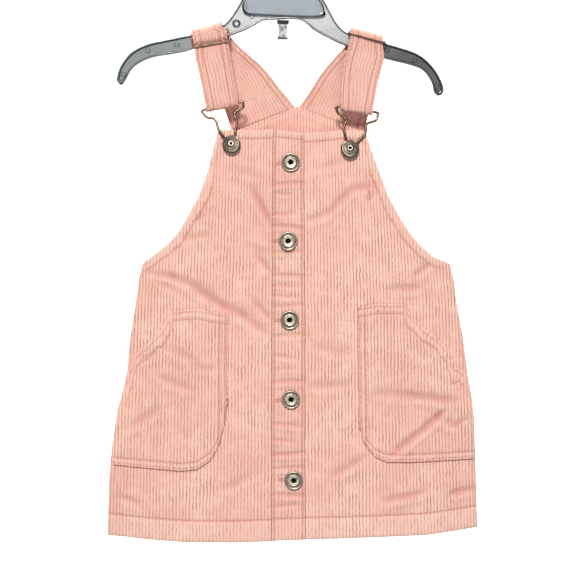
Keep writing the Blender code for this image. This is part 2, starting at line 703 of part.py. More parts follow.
# ---- hanger ------------------------------------------------------------------------
def make_hanger_body(parts):
    """Moulded arms and plate: a thin web inside a deeper rim, mirrored front to back."""
    bm = bmesh.new()
    corners = [bm.verts.new((point.x * MM, 0.0, point.z * MM)) for point in HANGER_OUTLINE]
    face = bm.faces.new(corners)
    bm.normal_update()
    if face.normal.y > 0:
        face.normal_flip()
    straight = HANGER_DEPTH / 2 - RIM_CHAMFER
    grown = bmesh.ops.extrude_face_region(bm, geom=[face])
    front = [item for item in grown["geom"] if isinstance(item, bmesh.types.BMFace)]
    moved = [item for item in grown["geom"] if isinstance(item, bmesh.types.BMVert)]
    bmesh.ops.translate(bm, verts=moved, vec=(0.0, -straight, 0.0))
    if face.is_valid:
        bmesh.ops.delete(bm, geom=[face], context="FACES_ONLY")
    for thickness, depth in ((RIM_CHAMFER, RIM_CHAMFER), (RIM_LAND, 0.0), (RIM_DRAFT, -WEB_RECESS)):
        bmesh.ops.inset_region(bm, faces=front, thickness=thickness, depth=depth,
                               use_even_offset=True, use_boundary=True)
    made = add_mesh(parts, "hanger_body", bm, "plastic")
    mirror = made.modifiers.new("front and back", "MIRROR")
    mirror.use_axis = (False, True, False)
    mirror.merge_threshold = 0.00005


def make_outline_plate(parts, name, outline, depth, y, finish):
    """A flat moulding standing in the hanger's plane, with its middle at y."""
    data = flat_curve(name, [[(point.x * MM, point.z * MM) for point in outline]], depth)
    made = add_object(parts, name, data, finish)
    made.rotation_euler = (math.radians(90), 0.0, 0.0)
    made.location = (0.0, y, 0.0)


def make_hanger(parts):
    """Body, blank plate, clip and fixed hook."""
    make_hanger_body(parts)
    plate_y = -(HANGER_DEPTH / 2 + PIECE_GAP + PLATE_WALL / 2)
    make_outline_plate(parts, "hanger_plate", PLATE_OUTLINE, PLATE_WALL, plate_y, "plastic")
    make_outline_plate(parts, "hanger_clip", CLIP_OUTLINE, CLIP_DEPTH, 0.0, "plastic")
    bow = HOOK_RADIUS + HOOK_WIRE
    route = [(point.x * MM, 0.0, point.z * MM) for point in HOOK_SHANK]
    for step in range(HOOK_STEPS + 1):
        angle = math.radians(HOOK_START + (HOOK_END - HOOK_START) * step / HOOK_STEPS)
        route.append((bow * math.cos(angle), 0.0, bow * math.sin(angle) - HOOK_RADIUS))
    make_wire(parts, "hanger_hook", route, HOOK_WIRE, "nickel", False, resolution=2)


def main():
    """Build the whole part."""
    parts = clear_scene()
    make_cloth_body(parts)
    make_strap(parts, RIGHT_STRAP)
    make_strap(parts, LEFT_STRAP)
    make_metal(parts)
    make_hanger(parts)


main()
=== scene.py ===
"""Looks of a corduroy pinafore dress on its hanger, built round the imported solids.

Metres, +Z up. The garment's front faces -Y and the origin is inside the hanger's hook.
Tables give sizes in millimetres from there, as in the part's own source.
"""
import math
from collections import namedtuple

import bmesh
import bpy
import numpy as np
from mathutils import Matrix, Vector


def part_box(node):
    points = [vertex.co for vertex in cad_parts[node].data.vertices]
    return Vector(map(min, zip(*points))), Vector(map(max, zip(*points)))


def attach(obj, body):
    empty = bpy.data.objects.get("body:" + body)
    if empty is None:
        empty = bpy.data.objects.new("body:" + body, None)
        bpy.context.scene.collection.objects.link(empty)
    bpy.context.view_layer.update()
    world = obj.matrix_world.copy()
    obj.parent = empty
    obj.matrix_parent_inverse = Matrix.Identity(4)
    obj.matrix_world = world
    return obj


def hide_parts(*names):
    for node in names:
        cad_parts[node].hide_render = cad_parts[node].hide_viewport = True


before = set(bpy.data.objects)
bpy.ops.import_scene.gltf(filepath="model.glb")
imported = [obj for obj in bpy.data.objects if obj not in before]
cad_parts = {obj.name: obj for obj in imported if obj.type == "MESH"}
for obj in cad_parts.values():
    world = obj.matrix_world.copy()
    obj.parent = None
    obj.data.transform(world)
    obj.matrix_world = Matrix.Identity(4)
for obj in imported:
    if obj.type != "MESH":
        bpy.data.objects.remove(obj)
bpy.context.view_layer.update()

MM = 0.001
FRONT = -1.0
BACK = 1.0

# ---- sizes shared with the solids ----------------------------------------------------------
CLOTH_WALL = 1.5 * MM
WALE_RELIEF = 0.75 * MM
WALE_PITCH = 3.175 * MM         # eight wales to the inch
LAP_LIFT = 2.6 * MM             # a piece sewn on a panel lies this far out from it
CENTRE_X = 6.8 * MM
CROWN_POWER = 3.5
HEM_DEPTH = 20.5 * MM
BAND_DEPTH = 8.4 * MM           # turned edge of the armholes and the bib's top
SHELL = 1.2 * MM                # one layer of cloth as it shows at an edge
UNDERARM_Z = -341.4 * MM

Edge = namedtuple("Edge", "z left right")
DRESS_OUTLINE = [
    Edge(-612.0, -171.6, 189.9), Edge(-590.0, -171.1, 189.5), Edge(-555.0, -169.9, 189.3),
    Edge(-520.0, -166.8, 187.9), Edge(-485.0, -161.0, 185.8), Edge(-450.0, -152.3, 180.0),
    Edge(-415.0, -149.4, 175.8), Edge(-380.0, -143.6, 169.4), Edge(-357.0, -140.7, 166.5),
    Edge(-341.4, -137.3, 162.8), Edge(-333.7, -127.1, 145.6), Edge(-322.0, -111.6, 131.9),
    Edge(-310.4, -100.9, 122.2), Edge(-298.8, -94.1, 114.5), Edge(-275.5, -81.5, 101.9),
    Edge(-252.2, -72.8, 93.1), Edge(-229.0, -66.9, 84.4), Edge(-212.0, -63.0, 79.5),
    Edge(-205.0, -61.6, 77.5),
]
SIDE_SEAM = DRESS_OUTLINE[:10] + [Edge(-212.0, -131.0, 157.0)]
Level = namedtuple("Level", "z fan hollow")
LEVELS = [
    Level(-612.0, 1.037, 15.0), Level(-590.0, 1.035, 15.0), Level(-473.0, 1.015, 14.0),
    Level(-376.0, 1.000, 13.5), Level(-328.0, 0.980, 13.0), Level(-212.0, 0.930, 11.5),
]
Line = namedtuple("Line", "x z")
HEM_LINE = [
    Line(-171.0, -605.3), Line(-150.0, -606.3), Line(-127.0, -608.2), Line(-92.0, -610.1),
    Line(-46.0, -610.1), Line(-22.0, -609.2), Line(1.0, -607.2), Line(53.0, -606.3),
    Line(117.0, -604.3), Line(141.0, -603.3), Line(164.0, -600.4), Line(189.4, -597.5),
]
BIB_TOP_LINE = [
    Line(-63.0, -212.0), Line(-10.0, -212.0), Line(18.0, -215.2), Line(32.0, -214.6),
    Line(55.0, -212.2), Line(79.5, -212.4),
]
BACK_TOP_LINE = [
    Line(-65.1, -212.7), Line(-49.9, -212.7), Line(13.7, -187.6), Line(79.6, -212.7),
    Line(81.1, -212.7),
]
RIGHT_POCKET_TOP = [
    Line(-167.0, -470.0), Line(-150.4, -444.3), Line(-144.5, -429.7), Line(-132.9, -420.0),
    Line(-118.3, -404.5), Line(-107.7, -386.1), Line(-82.5, -384.1), Line(-53.4, -389.5),
]
RIGHT_POCKET_BOTTOM = [
    Line(-166.8, -536.4), Line(-98.0, -541.3), Line(-83.4, -539.8), Line(-70.8, -531.6),
    Line(-62.1, -518.0), Line(-56.3, -494.0), Line(-54.6, -477.0),
]
LEFT_POCKET_TOP = [
    Line(72.3, -382.2), Line(91.2, -379.3), Line(117.4, -379.3), Line(122.2, -387.0),
    Line(136.8, -403.5), Line(149.4, -412.7), Line(160.1, -423.9), Line(166.8, -438.4),
    Line(178.5, -449.1), Line(186.0, -470.0),
]
LEFT_POCKET_BOTTOM = [
    Line(73.6, -495.0), Line(75.7, -505.4), Line(79.6, -517.0), Line(89.2, -527.7),
    Line(99.9, -532.5), Line(120.3, -533.0), Line(187.7, -530.6),
]
# how far inside an edge its stitch lines run
PLACKET_SEAM_INSET = 2.2 * MM
PLACKET_EDGE_INSET = 2.4 * MM
PLACKET_TOP_INSET = 6.5 * MM
POCKET_SEAMS = (1.8 * MM, 7.0 * MM)
MOUTH_SEAMS = (3.6 * MM, 10.0 * MM)
YOKE_SEAMS = (2.0 * MM, 8.0 * MM)
STRAP_SUNK_LINES = (2.4 * MM, 7.4 * MM)
STRAP_STITCH_LINES = (2.0 * MM, 7.0 * MM)
# wales where pieces meet or end, counted from the front closure
RIGHT_SEAM_WALE = -54.0
LEFT_SEAM_WALE = 55.5
PLACKET_SEAM_WALE = -5.5
PLACKET_EDGE_WALE = 4.5
RIGHT_POCKET_WALES = (-53.0, -19.0)
LEFT_POCKET_WALES = (20.5, 55.0)

# ---- creases, seen from the front: a soft trough (or ridge) from one point to another ----------
Crease = namedtuple("Crease", "x0 z0 x1 z1 width depth")
FRONT_CREASES = [
    Crease(-30.0, -268.0, -12.0, -303.0, 3.2, 1.9), Crease(-27.0, -333.0, -12.0, -350.0, 3.0, 1.5),
    Crease(-27.0, -377.0, -12.0, -395.0, 3.0, 1.5), Crease(-36.0, -316.0, -14.0, -326.0, 3.4, -1.0),
    Crease(-137.0, -347.0, -104.0, -354.0, 3.0, 1.3), Crease(-110.0, -353.0, -82.0, -362.0, 3.6, 1.7),
    Crease(-88.0, -364.0, -58.0, -381.0, 4.2, 2.2), Crease(-60.0, -381.0, -34.0, -392.0, 4.4, 1.8),
    Crease(-40.0, -391.0, -16.0, -409.0, 3.4, 1.4), Crease(-122.0, -359.0, -98.0, -369.0, 3.2, 1.0),
    Crease(24.0, -300.0, 46.0, -291.0, 3.2, 1.8), Crease(46.0, -291.0, 66.0, -270.0, 3.2, 1.8),
    Crease(66.0, -270.0, 90.0, -266.0, 3.4, 1.7), Crease(81.0, -281.0, 97.0, -267.0, 2.8, 1.5),
    Crease(102.0, -366.0, 132.0, -365.0, 3.6, 1.6), Crease(128.0, -352.0, 143.0, -342.0, 3.2, 1.5),
    Crease(25.0, -460.0, 66.0, -458.5, 3.4, 1.3), Crease(48.0, -546.0, 79.0, -528.0, 3.2, 1.6),
    Crease(98.0, -570.0, 137.0, -563.0, 3.2, 1.7), Crease(163.0, -565.0, 190.0, -558.0, 3.2, 1.8),
    Crease(108.0, -524.0, 134.0, -503.0, 3.4, 2.0), Crease(134.0, -503.0, 156.0, -485.0, 3.4, 2.0),
    Crease(88.0, -466.0, 130.0, -470.0, 4.4, 1.4), Crease(126.0, -468.0, 170.0, -474.0, 4.0, 1.6),
    Crease(150.0, -490.0, 171.0, -500.0, 3.4, 1.3), Crease(169.0, -497.0, 185.0, -488.0, 3.0, 1.7),
    Crease(-110.0, -424.0, -84.0, -436.0, 3.6, 1.3), Crease(-92.0, -440.0, -66.0, -443.0, 3.2, 1.1),
    Crease(-118.0, -452.0, -88.0, -462.0, 4.0, 1.2), Crease(-150.0, -500.0, -120.0, -480.0, 4.0, 1.3),
    Crease(-140.0, -436.0, -124.0, -429.0, 3.0, 1.2), Crease(-60.0, -560.0, -30.0, -545.0, 3.8, 1.1),
    Crease(-165.0, -566.0, -140.0, -574.0, 3.4, 1.3), Crease(30.0, -420.0, 62.0, -428.0, 4.0, 1.1),
    Crease(-46.0, -250.0, -22.0, -258.0, 3.0, 1.2), Crease(34.0, -248.0, 58.0, -244.0, 3.0, 1.1),
    Crease(-84.0, -300.0, -66.0, -286.0, 3.4, 1.3), Crease(-98.0, -318.0, -70.0, -312.0, 3.4, 1.2),
    # puckers of the placket between and beside its buttonholes
    Crease(-10.0, -266.0, 20.0, -264.0, 1.9, 1.3), Crease(-9.0, -273.5, 10.0, -275.0, 1.6, 1.0),
    Crease(-10.0, -294.0, 12.0, -292.5, 1.8, 0.9), Crease(-10.0, -305.0, 21.0, -308.5, 2.2, 1.4),
    Crease(-9.0, -331.0, 18.0, -330.0, 2.0, 1.2), Crease(-8.0, -353.0, 21.0, -354.5, 2.2, 1.3),
    Crease(-10.0, -363.0, 12.0, -365.0, 1.8, 1.0), Crease(-10.0, -372.0, 10.0, -374.0, 1.8, 1.1),
    Crease(-9.0, -383.0, 18.0, -381.0, 2.0, 1.2), Crease(-9.0, -412.0, 21.0, -410.0, 2.2, 1.2),
    Crease(-10.0, -430.0, 12.0, -433.0, 2.0, 1.1), Crease(-9.0, -444.0, 10.0, -443.0, 1.8, 0.9),
    Crease(-9.0, -456.0, 21.0, -455.0, 2.2, 1.4), Crease(-8.0, -496.0, 20.0, -499.0, 2.2, 1.1),
    Crease(-9.0, -511.0, 12.0, -513.0, 1.8, 0.9), Crease(-10.0, -526.0, 20.0, -524.0, 2.2, 1.3),
    Crease(-9.0, -539.5, 20.0, -537.5, 2.0, 1.2), Crease(-10.0, -563.5, 21.0, -565.0, 2.2, 1.2),
    Crease(-8.0, -576.0, 16.0, -574.0, 2.0, 0.9),
]
BACK_CREASES = [
    Crease(-40.0, -262.0, -4.0, -290.0, 6.0, 1.6), Crease(32.0, -255.0, 70.0, -284.0, 6.0, 1.5),
    Crease(-118.0, -352.0, -78.0, -366.0, 7.0, 1.7), Crease(140.0, -350.0, 96.0, -372.0, 7.0, 1.7),
    Crease(-60.0, -420.0, 10.0, -432.0, 9.0, 1.3), Crease(60.0, -455.0, 120.0, -440.0, 8.0, 1.3),
    Crease(-140.0, -505.0, -96.0, -488.0, 6.0, 1.4), Crease(-20.0, -530.0, 44.0, -520.0, 8.0, 1.2),
    Crease(110.0, -548.0, 165.0, -532.0, 6.0, 1.4), Crease(-120.0, -568.0, -70.0, -574.0, 5.0, 1.1),
    Crease(6.0, -330.0, 30.0, -352.0, 5.0, 1.0), Crease(150.0, -420.0, 171.0, -412.0, 4.0, 1.3),
]

# ---- straps: the same sections as the solids have ---------------------------------------------
Section = namedtuple("Section", "lx lz rx rz y")
Over = namedtuple("Over", "y rise")
Strap = namedtuple("Strap", "name back arm over adjuster slant threading front bar bar_y tail")
RIGHT_STRAP = Strap(
    name="strap_right",
    back=[
        Section(-50.1, -211.3, 12.5, -187.6, 12.4), Section(-59.6, -183.6, -2.0, -169.9, 11.0),
        Section(-71.8, -158.4, -20.7, -147.1, 9.0), Section(-82.0, -138.2, -41.2, -129.3, 6.6),
        Section(-88.2, -123.7, -55.4, -115.0, 5.0),
    ],
    arm=Section(-88.9, -117.2, -59.2, -109.0, 0.0),
    over=[
        Over(4.8, -2.6), Over(4.6, -0.2), Over(3.7, 1.5), Over(2.2, 2.1), Over(-1.0, 2.3),
        Over(-4.4, 2.5), Over(-7.2, 1.9), Over(-9.2, 0.0), Over(-10.2, -2.6),
    ],
    adjuster=Section(-87.1, -125.4, -54.1, -119.6, 0.0),
    slant=-0.18,
    threading=[
        Over(-10.5, 4.0), Over(-10.8, 2.0), Over(-11.1, 0.0), Over(-10.5, -1.9), Over(-9.0, -3.2),
        Over(-7.4, -4.6), Over(-6.9, -7.3),
    ],
    front=[
        Section(-85.2, -139.7, -51.6, -133.9, -7.3),
        Section(-81.0, -158.1, -48.3, -153.3, -10.0), Section(-76.4, -180.4, -44.6, -175.6, -13.6),
    ],
    bar=Section(-74.3, -191.9, -43.1, -185.3, 0.0),
    bar_y=-12.6,
    tail=[
        Section(-76.4, -180.4, -44.6, -175.6, -10.2), Section(-81.0, -158.1, -48.3, -153.3, -7.6),
        Section(-85.2, -139.7, -51.6, -133.9, -5.0), Section(-86.0, -133.9, -52.4, -127.6, -4.75),
    ],
)
LEFT_STRAP = Strap(
    name="strap_left",
    back=[
        Section(14.9, -187.6, 79.7, -212.3, 12.4), Section(25.5, -172.9, 86.5, -182.7, 11.0),
        Section(37.3, -154.4, 91.8, -161.3, 9.0), Section(52.9, -136.2, 96.5, -143.1, 6.6),
        Section(64.1, -123.7, 99.4, -133.0, 5.0),
    ],
    arm=Section(65.7, -116.4, 96.9, -124.8, 0.0),
    over=[
        Over(4.9, -4.4), Over(4.8, -1.6), Over(4.2, 1.4), Over(2.8, 3.7), Over(0.4, 4.9),
        Over(-2.4, 5.2), Over(-5.0, 4.9), Over(-7.0, 3.6), Over(-8.1, 1.2), Over(-8.0, -1.4),
        Over(-7.6, -4.2), Over(-7.2, -7.5),
    ],
    adjuster=None,
    slant=0.0,
    threading=[],
    front=[
        Section(62.9, -131.9, 98.2, -140.7, -7.2), Section(59.2, -144.5, 95.5, -152.3, -8.6),
        Section(56.7, -163.0, 91.4, -167.8, -11.3), Section(55.6, -180.4, 88.5, -184.3, -14.2),
    ],
    bar=Section(55.3, -189.6, 86.6, -194.3, 0.0),
    bar_y=-12.7,
    tail=[
        Section(55.6, -180.4, 88.5, -184.3, -10.6), Section(56.7, -163.0, 91.4, -167.8, -8.4),
        Section(59.2, -144.5, 95.5, -152.3, -6.1), Section(62.9, -131.9, 98.2, -140.7, -5.0),
        Section(65.0, -121.2, 97.5, -130.2, -4.75),
    ],
)
FOLD_ANGLES = (0, 30, 60, 90, 120, 150, 180)
FOLD_RADIUS = 2.5               # middle of the cloth round the buckle's bar

# ---- metal -----------------------------------------------------------------------------------
Wire = namedtuple("Wire", "x z y")
RIGHT_BUCKLE = [
    Wire(-75.7, -192.2, -12.6), Wire(-42.3, -185.1, -12.6), Wire(-38.7, -186.6, -12.7),
    Wire(-38.9, -190.5, -12.9), Wire(-44.4, -193.6, -13.1), Wire(-47.0, -197.0, -13.4),
    Wire(-45.4, -201.0, -13.9), Wire(-44.3, -205.4, -14.4), Wire(-45.2, -210.0, -14.9),
    Wire(-46.0, -215.6, -15.6), Wire(-45.1, -221.6, -15.7), Wire(-44.8, -227.0, -15.7),
    Wire(-49.9, -231.2, -15.7), Wire(-55.0, -227.6, -15.7), Wire(-55.5, -221.8, -15.7),
    Wire(-60.1, -215.3, -15.6), Wire(-62.9, -210.0, -15.0), Wire(-64.0, -204.7, -14.4),
    Wire(-67.4, -201.1, -13.8), Wire(-72.7, -200.1, -13.4), Wire(-76.0, -197.4, -13.0),
]
LEFT_BUCKLE = [
    Wire(54.2, -189.5, -12.7), Wire(88.3, -194.6, -12.7), Wire(91.4, -197.9, -12.9),
    Wire(89.8, -202.9, -13.4), Wire(83.9, -205.0, -13.9), Wire(80.2, -207.3, -14.4),
    Wire(80.3, -211.5, -15.0), Wire(78.6, -217.3, -15.6), Wire(73.0, -223.0, -15.7),
    Wire(69.8, -228.4, -15.7), Wire(69.5, -232.9, -15.7), Wire(64.8, -235.6, -15.7),
    Wire(59.8, -232.6, -15.7), Wire(59.6, -227.4, -15.7), Wire(60.6, -221.6, -15.6),
    Wire(59.6, -216.0, -15.4), Wire(58.7, -211.0, -14.9), Wire(59.7, -206.6, -14.4),
    Wire(61.2, -203.0, -14.0), Wire(58.0, -199.4, -13.5), Wire(53.6, -196.0, -13.1),
    Wire(51.9, -191.8, -12.9),
]
WIRE_RADIUS = 1.3 * MM
Slider = namedtuple("Slider", "name middle lower across")
RIGHT_SLIDER = Slider("slider_right", (-70.4, -8.6, -122.5), (-69.4, -9.6, -128.7), 0.17)
LEFT_SLIDER = Slider("slider_left", (81.7, -5.2, -121.0), (81.7, -11.3, -122.9), -0.285)
SLIDER_WIDTH = 38.4 * MM
SLIDER_HEIGHT = 14.4 * MM
SLIDER_WIRE = 0.8 * MM

# ---- hanger -----------------------------------------------------------------------------------
HANGER_OUTLINE = [
    Line(-60.4, -109.9), Line(-99.5, -119.8), Line(-120.1, -124.1), Line(-133.7, -127.6),
    Line(-148.3, -135.4), Line(-158.1, -148.1), Line(-161.5, -157.8), Line(-162.0, -162.7),
    Line(-157.6, -167.0), Line(-152.7, -160.8), Line(-147.0, -151.0), Line(-136.7, -143.6),
    Line(-124.0, -139.3), Line(-105.5, -136.3), Line(-89.8, -132.5), Line(-43.0, -115.9),
    Line(-29.3, -109.5), Line(-21.5, -105.1), Line(-13.7, -103.6), Line(15.6, -103.2),
    Line(30.2, -113.5), Line(45.3, -121.7), Line(60.4, -128.6), Line(99.5, -141.2),
    Line(124.9, -147.7), Line(136.6, -152.9), Line(144.4, -163.4), Line(147.3, -173.8),
    Line(152.2, -177.4), Line(156.6, -172.4), Line(153.2, -160.8), Line(144.4, -147.7),
    Line(129.7, -136.0), Line(99.5, -126.2), Line(63.8, -116.3), Line(52.7, -106.8),
    Line(46.2, -95.4), Line(39.7, -83.7), Line(21.4, -62.2), Line(6.8, -56.3),
    Line(-6.9, -56.3), Line(-24.5, -64.2), Line(-41.0, -83.7), Line(-42.6, -87.5),
]
PLATE_OUTLINE = [
    Line(-39.8, -90.8), Line(-36.3, -98.0), Line(-22.5, -99.3), Line(35.0, -101.0),
    Line(40.0, -93.5), Line(34.2, -82.3), Line(20.1, -66.2), Line(-21.2, -67.7), Line(-36.3, -84.3),
]
HANGER_HALF = 3.5 * MM
HANGER_BUMPS = [
    Line(-131.8, -133.4), Line(-103.5, -127.6), Line(-155.5, -156.7), Line(-30.3, -99.9),
    Line(101.5, -133.1), Line(127.8, -142.9), Line(149.9, -167.8),
]
HANGER_RING = Line(-45.4, -107.0)


# ---- materials --------------------------------------------------------------------------------
CREST_PINK = "#F3CEBF"
# painted shade: the wale grooves and sunk places are given this darker pink
SHADED_GROOVE_PINK = "#BD7F71"
ROSE_PINK = "#E3A99F"
# paler tone of ridges: partly rubbed wear, partly a painted highlight
RUBBED_AND_HIGHLIT_PINK = "#F8DACE"
# near black of thick plastic, also used as painted edge shade on rims and ends
THICK_AND_EDGE_SHADE_SMOKE = "#0C0D0E"
POLYSTYRENE_IOR = 1.59


def linear(colour):
    """An sRGB hex value as linear RGBA."""
    values = [int(colour[place:place + 2], 16) / 255.0 for place in (1, 3, 5)]
    turned = [v / 12.92 if v <= 0.04045 else ((v + 0.055) / 1.055) ** 2.4 for v in values]
    return (*turned, 1.0)


def add(tree, kind, inputs=None, **settings):
    """Add a node with its settings; inputs holds values or the sockets they come from."""
    made = tree.nodes.new(kind)
    for name, value in settings.items():
        setattr(made, name, value)
    for name, value in (inputs or {}).items():
        if isinstance(value, bpy.types.NodeSocket):
            tree.links.new(value, made.inputs[name])
        else:
            made.inputs[name].default_value = value
    return made


def noise(tree, place, scale, detail, roughness=0.5):
    """Noise with features about 1 / scale metres wide."""
    made = add(tree, "ShaderNodeTexNoise",
               {"Vector": place, "Scale": scale, "Detail": detail, "Roughness": roughness})
    return made.outputs["Fac"]


def remap(tree, value, start, end, low=0.0, high=1.0, **settings):
    """Carry a value from the range start to end over to the range low to high."""
    made = add(tree, "ShaderNodeMapRange", {"Value": value, "From Min": start, "From Max": end,
                                            "To Min": low, "To Max": high}, **settings)
    return made.outputs[0]


def work_out(tree, operation, *values, **settings):
    """One step of arithmetic on values or sockets."""
    return add(tree, "ShaderNodeMath", dict(enumerate(values)), operation=operation, **settings).outputs[0]


def blend(tree, factor, first, second):
    """A colour between two, each a hex value or a socket."""
    one, other = [linear(side) if isinstance(side, str) else side for side in (first, second)]
    made = add(tree, "ShaderNodeMix", {"Factor": factor, "A": one, "B": other}, data_type="RGBA")
    return made.outputs["Result"]


def attribute(tree, name):
    """A value that the mesh carries at each point."""
    return add(tree, "ShaderNodeAttribute", attribute_name=name).outputs["Fac"]


def start_material(name):
    """A material, its empty node tree and the place on the piece in metres."""
    made = bpy.data.materials.new(name)
    made.use_nodes = True
    made.node_tree.nodes.clear()
    return made, made.node_tree, add(made.node_tree, "ShaderNodeTexCoord").outputs["Object"]


def end_material(made, tree, inputs):
    """Give the material a shader with these inputs."""
    shader = add(tree, "ShaderNodeBsdfPrincipled", inputs)
    add(tree, "ShaderNodeOutputMaterial", {"Surface": shader.outputs["BSDF"]})
    return made


def corduroy_finish():
    """Cut cotton pile: pale brushed crests, grooves painted a deeper pink as painted shade, painted shade in
    sunk places and a paler tone on ridges (partly rubbed wear, partly painted highlight), a soft sheen at the
    edges.
    """
    made, tree, place = start_material("cotton_corduroy_wide_wale")
    across = add(tree, "ShaderNodeUVMap", uv_map="wales")
    wale = add(tree, "ShaderNodeSeparateXYZ", {0: across.outputs["UV"]}).outputs["X"]
    # wales waver by about a tenth of their pitch
    shift = remap(tree, noise(tree, place, 170.0, 2.0), 0.25, 0.75, -0.16, 0.16)
    turn = work_out(tree, "MULTIPLY", work_out(tree, "ADD", wale, shift), 2.0 * math.pi)
    # painted shade in the wale grooves, on top of their modelled relief
    hollowed = remap(tree, work_out(tree, "COSINE", turn), 0.25, -0.95, interpolation_type="SMOOTHSTEP")
    # grooves close up where the pile is brushed or crushed over them: 5 to 15 mm
    open_share = remap(tree, noise(tree, place, 95.0, 4.0, 0.65), 0.32, 0.62, 0.3, 1.0)
    wear = attribute(tree, "wear")
    pressed = remap(tree, wear, -0.6, 0.0, 0.3, 1.0)
    groove_shade = work_out(tree, "MULTIPLY", work_out(tree, "MULTIPLY", hollowed, pressed), open_share)
    # tufts of the pile: about 1 mm, drawn out along the wale
    drawn_out = add(tree, "ShaderNodeMapping", {"Vector": place, "Scale": (1.0, 1.0, 0.5)}).outputs[0]
    tufts = noise(tree, drawn_out, 820.0, 4.0, 0.75)
    mask = work_out(tree, "ADD", groove_shade, remap(tree, tufts, 0.3, 0.7, 0.2, -0.2), use_clamp=True)
    pile_tone_and_groove_shade = blend(tree, mask, CREST_PINK, SHADED_GROOVE_PINK)
    # faded and rosier places: 20 to 60 mm
    rosy = remap(tree, noise(tree, place, 28.0, 5.0, 0.62), 0.36, 0.66, 0.0, 0.5)
    tinted = blend(tree, rosy, pile_tone_and_groove_shade, ROSE_PINK)
    # sunk places (crease troughs, stitch lines) get painted shade; ridges are painted paler, partly as rubbed
    # wear and partly as painted highlight
    sunk_shade = blend(tree, remap(tree, wear, 0.0, -1.0, 0.0, 0.85), tinted, SHADED_GROOVE_PINK)
    rubbed_and_highlit = blend(tree, remap(tree, wear, 0.1, 1.0, 0.0, 0.4), sunk_shade, RUBBED_AND_HIGHLIT_PINK)
    bump = add(tree, "ShaderNodeBump", {"Height": tufts, "Strength": 0.6, "Distance": 0.0006})
    return end_material(made, tree, {
        "Base Color": rubbed_and_highlit, "Roughness": 0.92, "Normal": bump.outputs[0], "Specular IOR Level": 0.15,
        "Sheen Weight": 0.14, "Sheen Roughness": 0.45, "Sheen Tint": linear("#FFE3D8")})


def cloth_back_finish():
    """The plain woven back of the corduroy: paler, matt, a fine twill."""
    made, tree, place = start_material("cotton_corduroy_plain_back")
    weave = noise(tree, place, 1400.0, 2.0)
    bump = add(tree, "ShaderNodeBump", {"Height": weave, "Strength": 0.3, "Distance": 0.0002})
    return end_material(made, tree, {
        "Base Color": blend(tree, weave, "#DB9F90", "#EDBBAB"), "Roughness": 0.95,
        "Normal": bump.outputs[0], "Specular IOR Level": 0.2})


def thread_finish(name, dark, light):
    """Spun polyester thread, slightly shiny, with a shade of its ply."""
    made, tree, place = start_material(name)
    tone = blend(tree, noise(tree, place, 2600.0, 1.0), dark, light)
    return end_material(made, tree, {"Base Color": tone, "Roughness": 0.6, "Sheen Weight": 0.2})


def metal_finish(name, bright, dark, roughness):
    """Antiqued plating: dark in the recesses and in mottled spots, worn bright on the crests."""
    made, tree, place = start_material(name)
    spots = remap(tree, noise(tree, place, 700.0, 5.0), 0.42, 0.72, 0.0, 0.55)
    total = work_out(tree, "ADD", attribute(tree, "tarnish"), spots, use_clamp=True)
    return end_material(made, tree, {
        "Base Color": blend(tree, total, bright, dark), "Metallic": 1.0,
        "Roughness": remap(tree, total, 0.0, 1.0, roughness, 0.6)})


def smoke_plastic_finish(name, least, middle="#DCE1E3"):
    """Injection-moulded smoke polystyrene: grey and clear where thin, nearly black in the rims (its
    thickness, with painted edge shade), with painted highlights as lighter lines along them.

    least is the thickness, as a share from 0 to 1 of the rims' darkness with its painted edge shade, that
    every part of it has; middle is its tone between the arms, painted lighter than the arms as painted light
    through the plastic.
    """
    made, tree, place = start_material(name)
    across = add(tree, "ShaderNodeSeparateXYZ", {0: place}).outputs["X"]
    # painted light through the plastic: the middle is lighter than the arms, and the left arm lighter than
    # the right
    arms = remap(tree, work_out(tree, "ABSOLUTE", across), 0.045, 0.1)
    arm = blend(tree, remap(tree, across, -0.05, 0.08), "#939CA0", "#5E6364")
    flow = noise(tree, place, 45.0, 2.0)
    cloudy = blend(tree, remap(tree, flow, 0.3, 0.7, 0.0, 0.4), blend(tree, arms, middle, arm), "#6C7476")
    # dark for thick plastic and as painted edge shade on rims, with lighter lands as painted highlights
    depth = work_out(tree, "MAXIMUM", attribute(tree, "thick"), least)
    return end_material(made, tree, {
        "Base Color": blend(tree, depth, cloudy, THICK_AND_EDGE_SHADE_SMOKE), "IOR": POLYSTYRENE_IOR,
        "Roughness": remap(tree, flow, 0.0, 1.0, 0.08, 0.24),
        "Transmission Weight": 0.12, "Coat Weight": 0.15, "Coat Roughness": 0.05})


def clip_finish():
    """The clip's own plastic: silvery and clear, painted nearly black where it turns at both ends as painted
    edge shade.
    """
    made, tree, place = start_material("smoke_polystyrene_clip")
    height = add(tree, "ShaderNodeSeparateXYZ", {0: place}).outputs["Z"]
    # painted edge shade at the clip's top and foot
    top = remap(tree, height, -0.1085, -0.1075)
    foot = remap(tree, height, -0.1205, -0.1215)
    streaked = remap(tree, noise(tree, place, 260.0, 2.0), 0.4, 0.65)
    body = blend(tree, streaked, "#D3D5D5", "#6E7374")
    return end_material(made, tree, {
        "Base Color": blend(tree, work_out(tree, "MAXIMUM", top, foot), body, THICK_AND_EDGE_SHADE_SMOKE),
        "Roughness": 0.15, "IOR": POLYSTYRENE_IOR, "Coat Weight": 0.4})


def paper_finish():
    """Seamless studio paper: matt white."""
    made, tree, place = start_material("studio_paper")
    tone = blend(tree, noise(tree, place, 8.0, 2.0), "#F8F8F7", "#FDFDFD")
    return end_material(made, tree, {"Base Color": tone, "Roughness": 0.9})


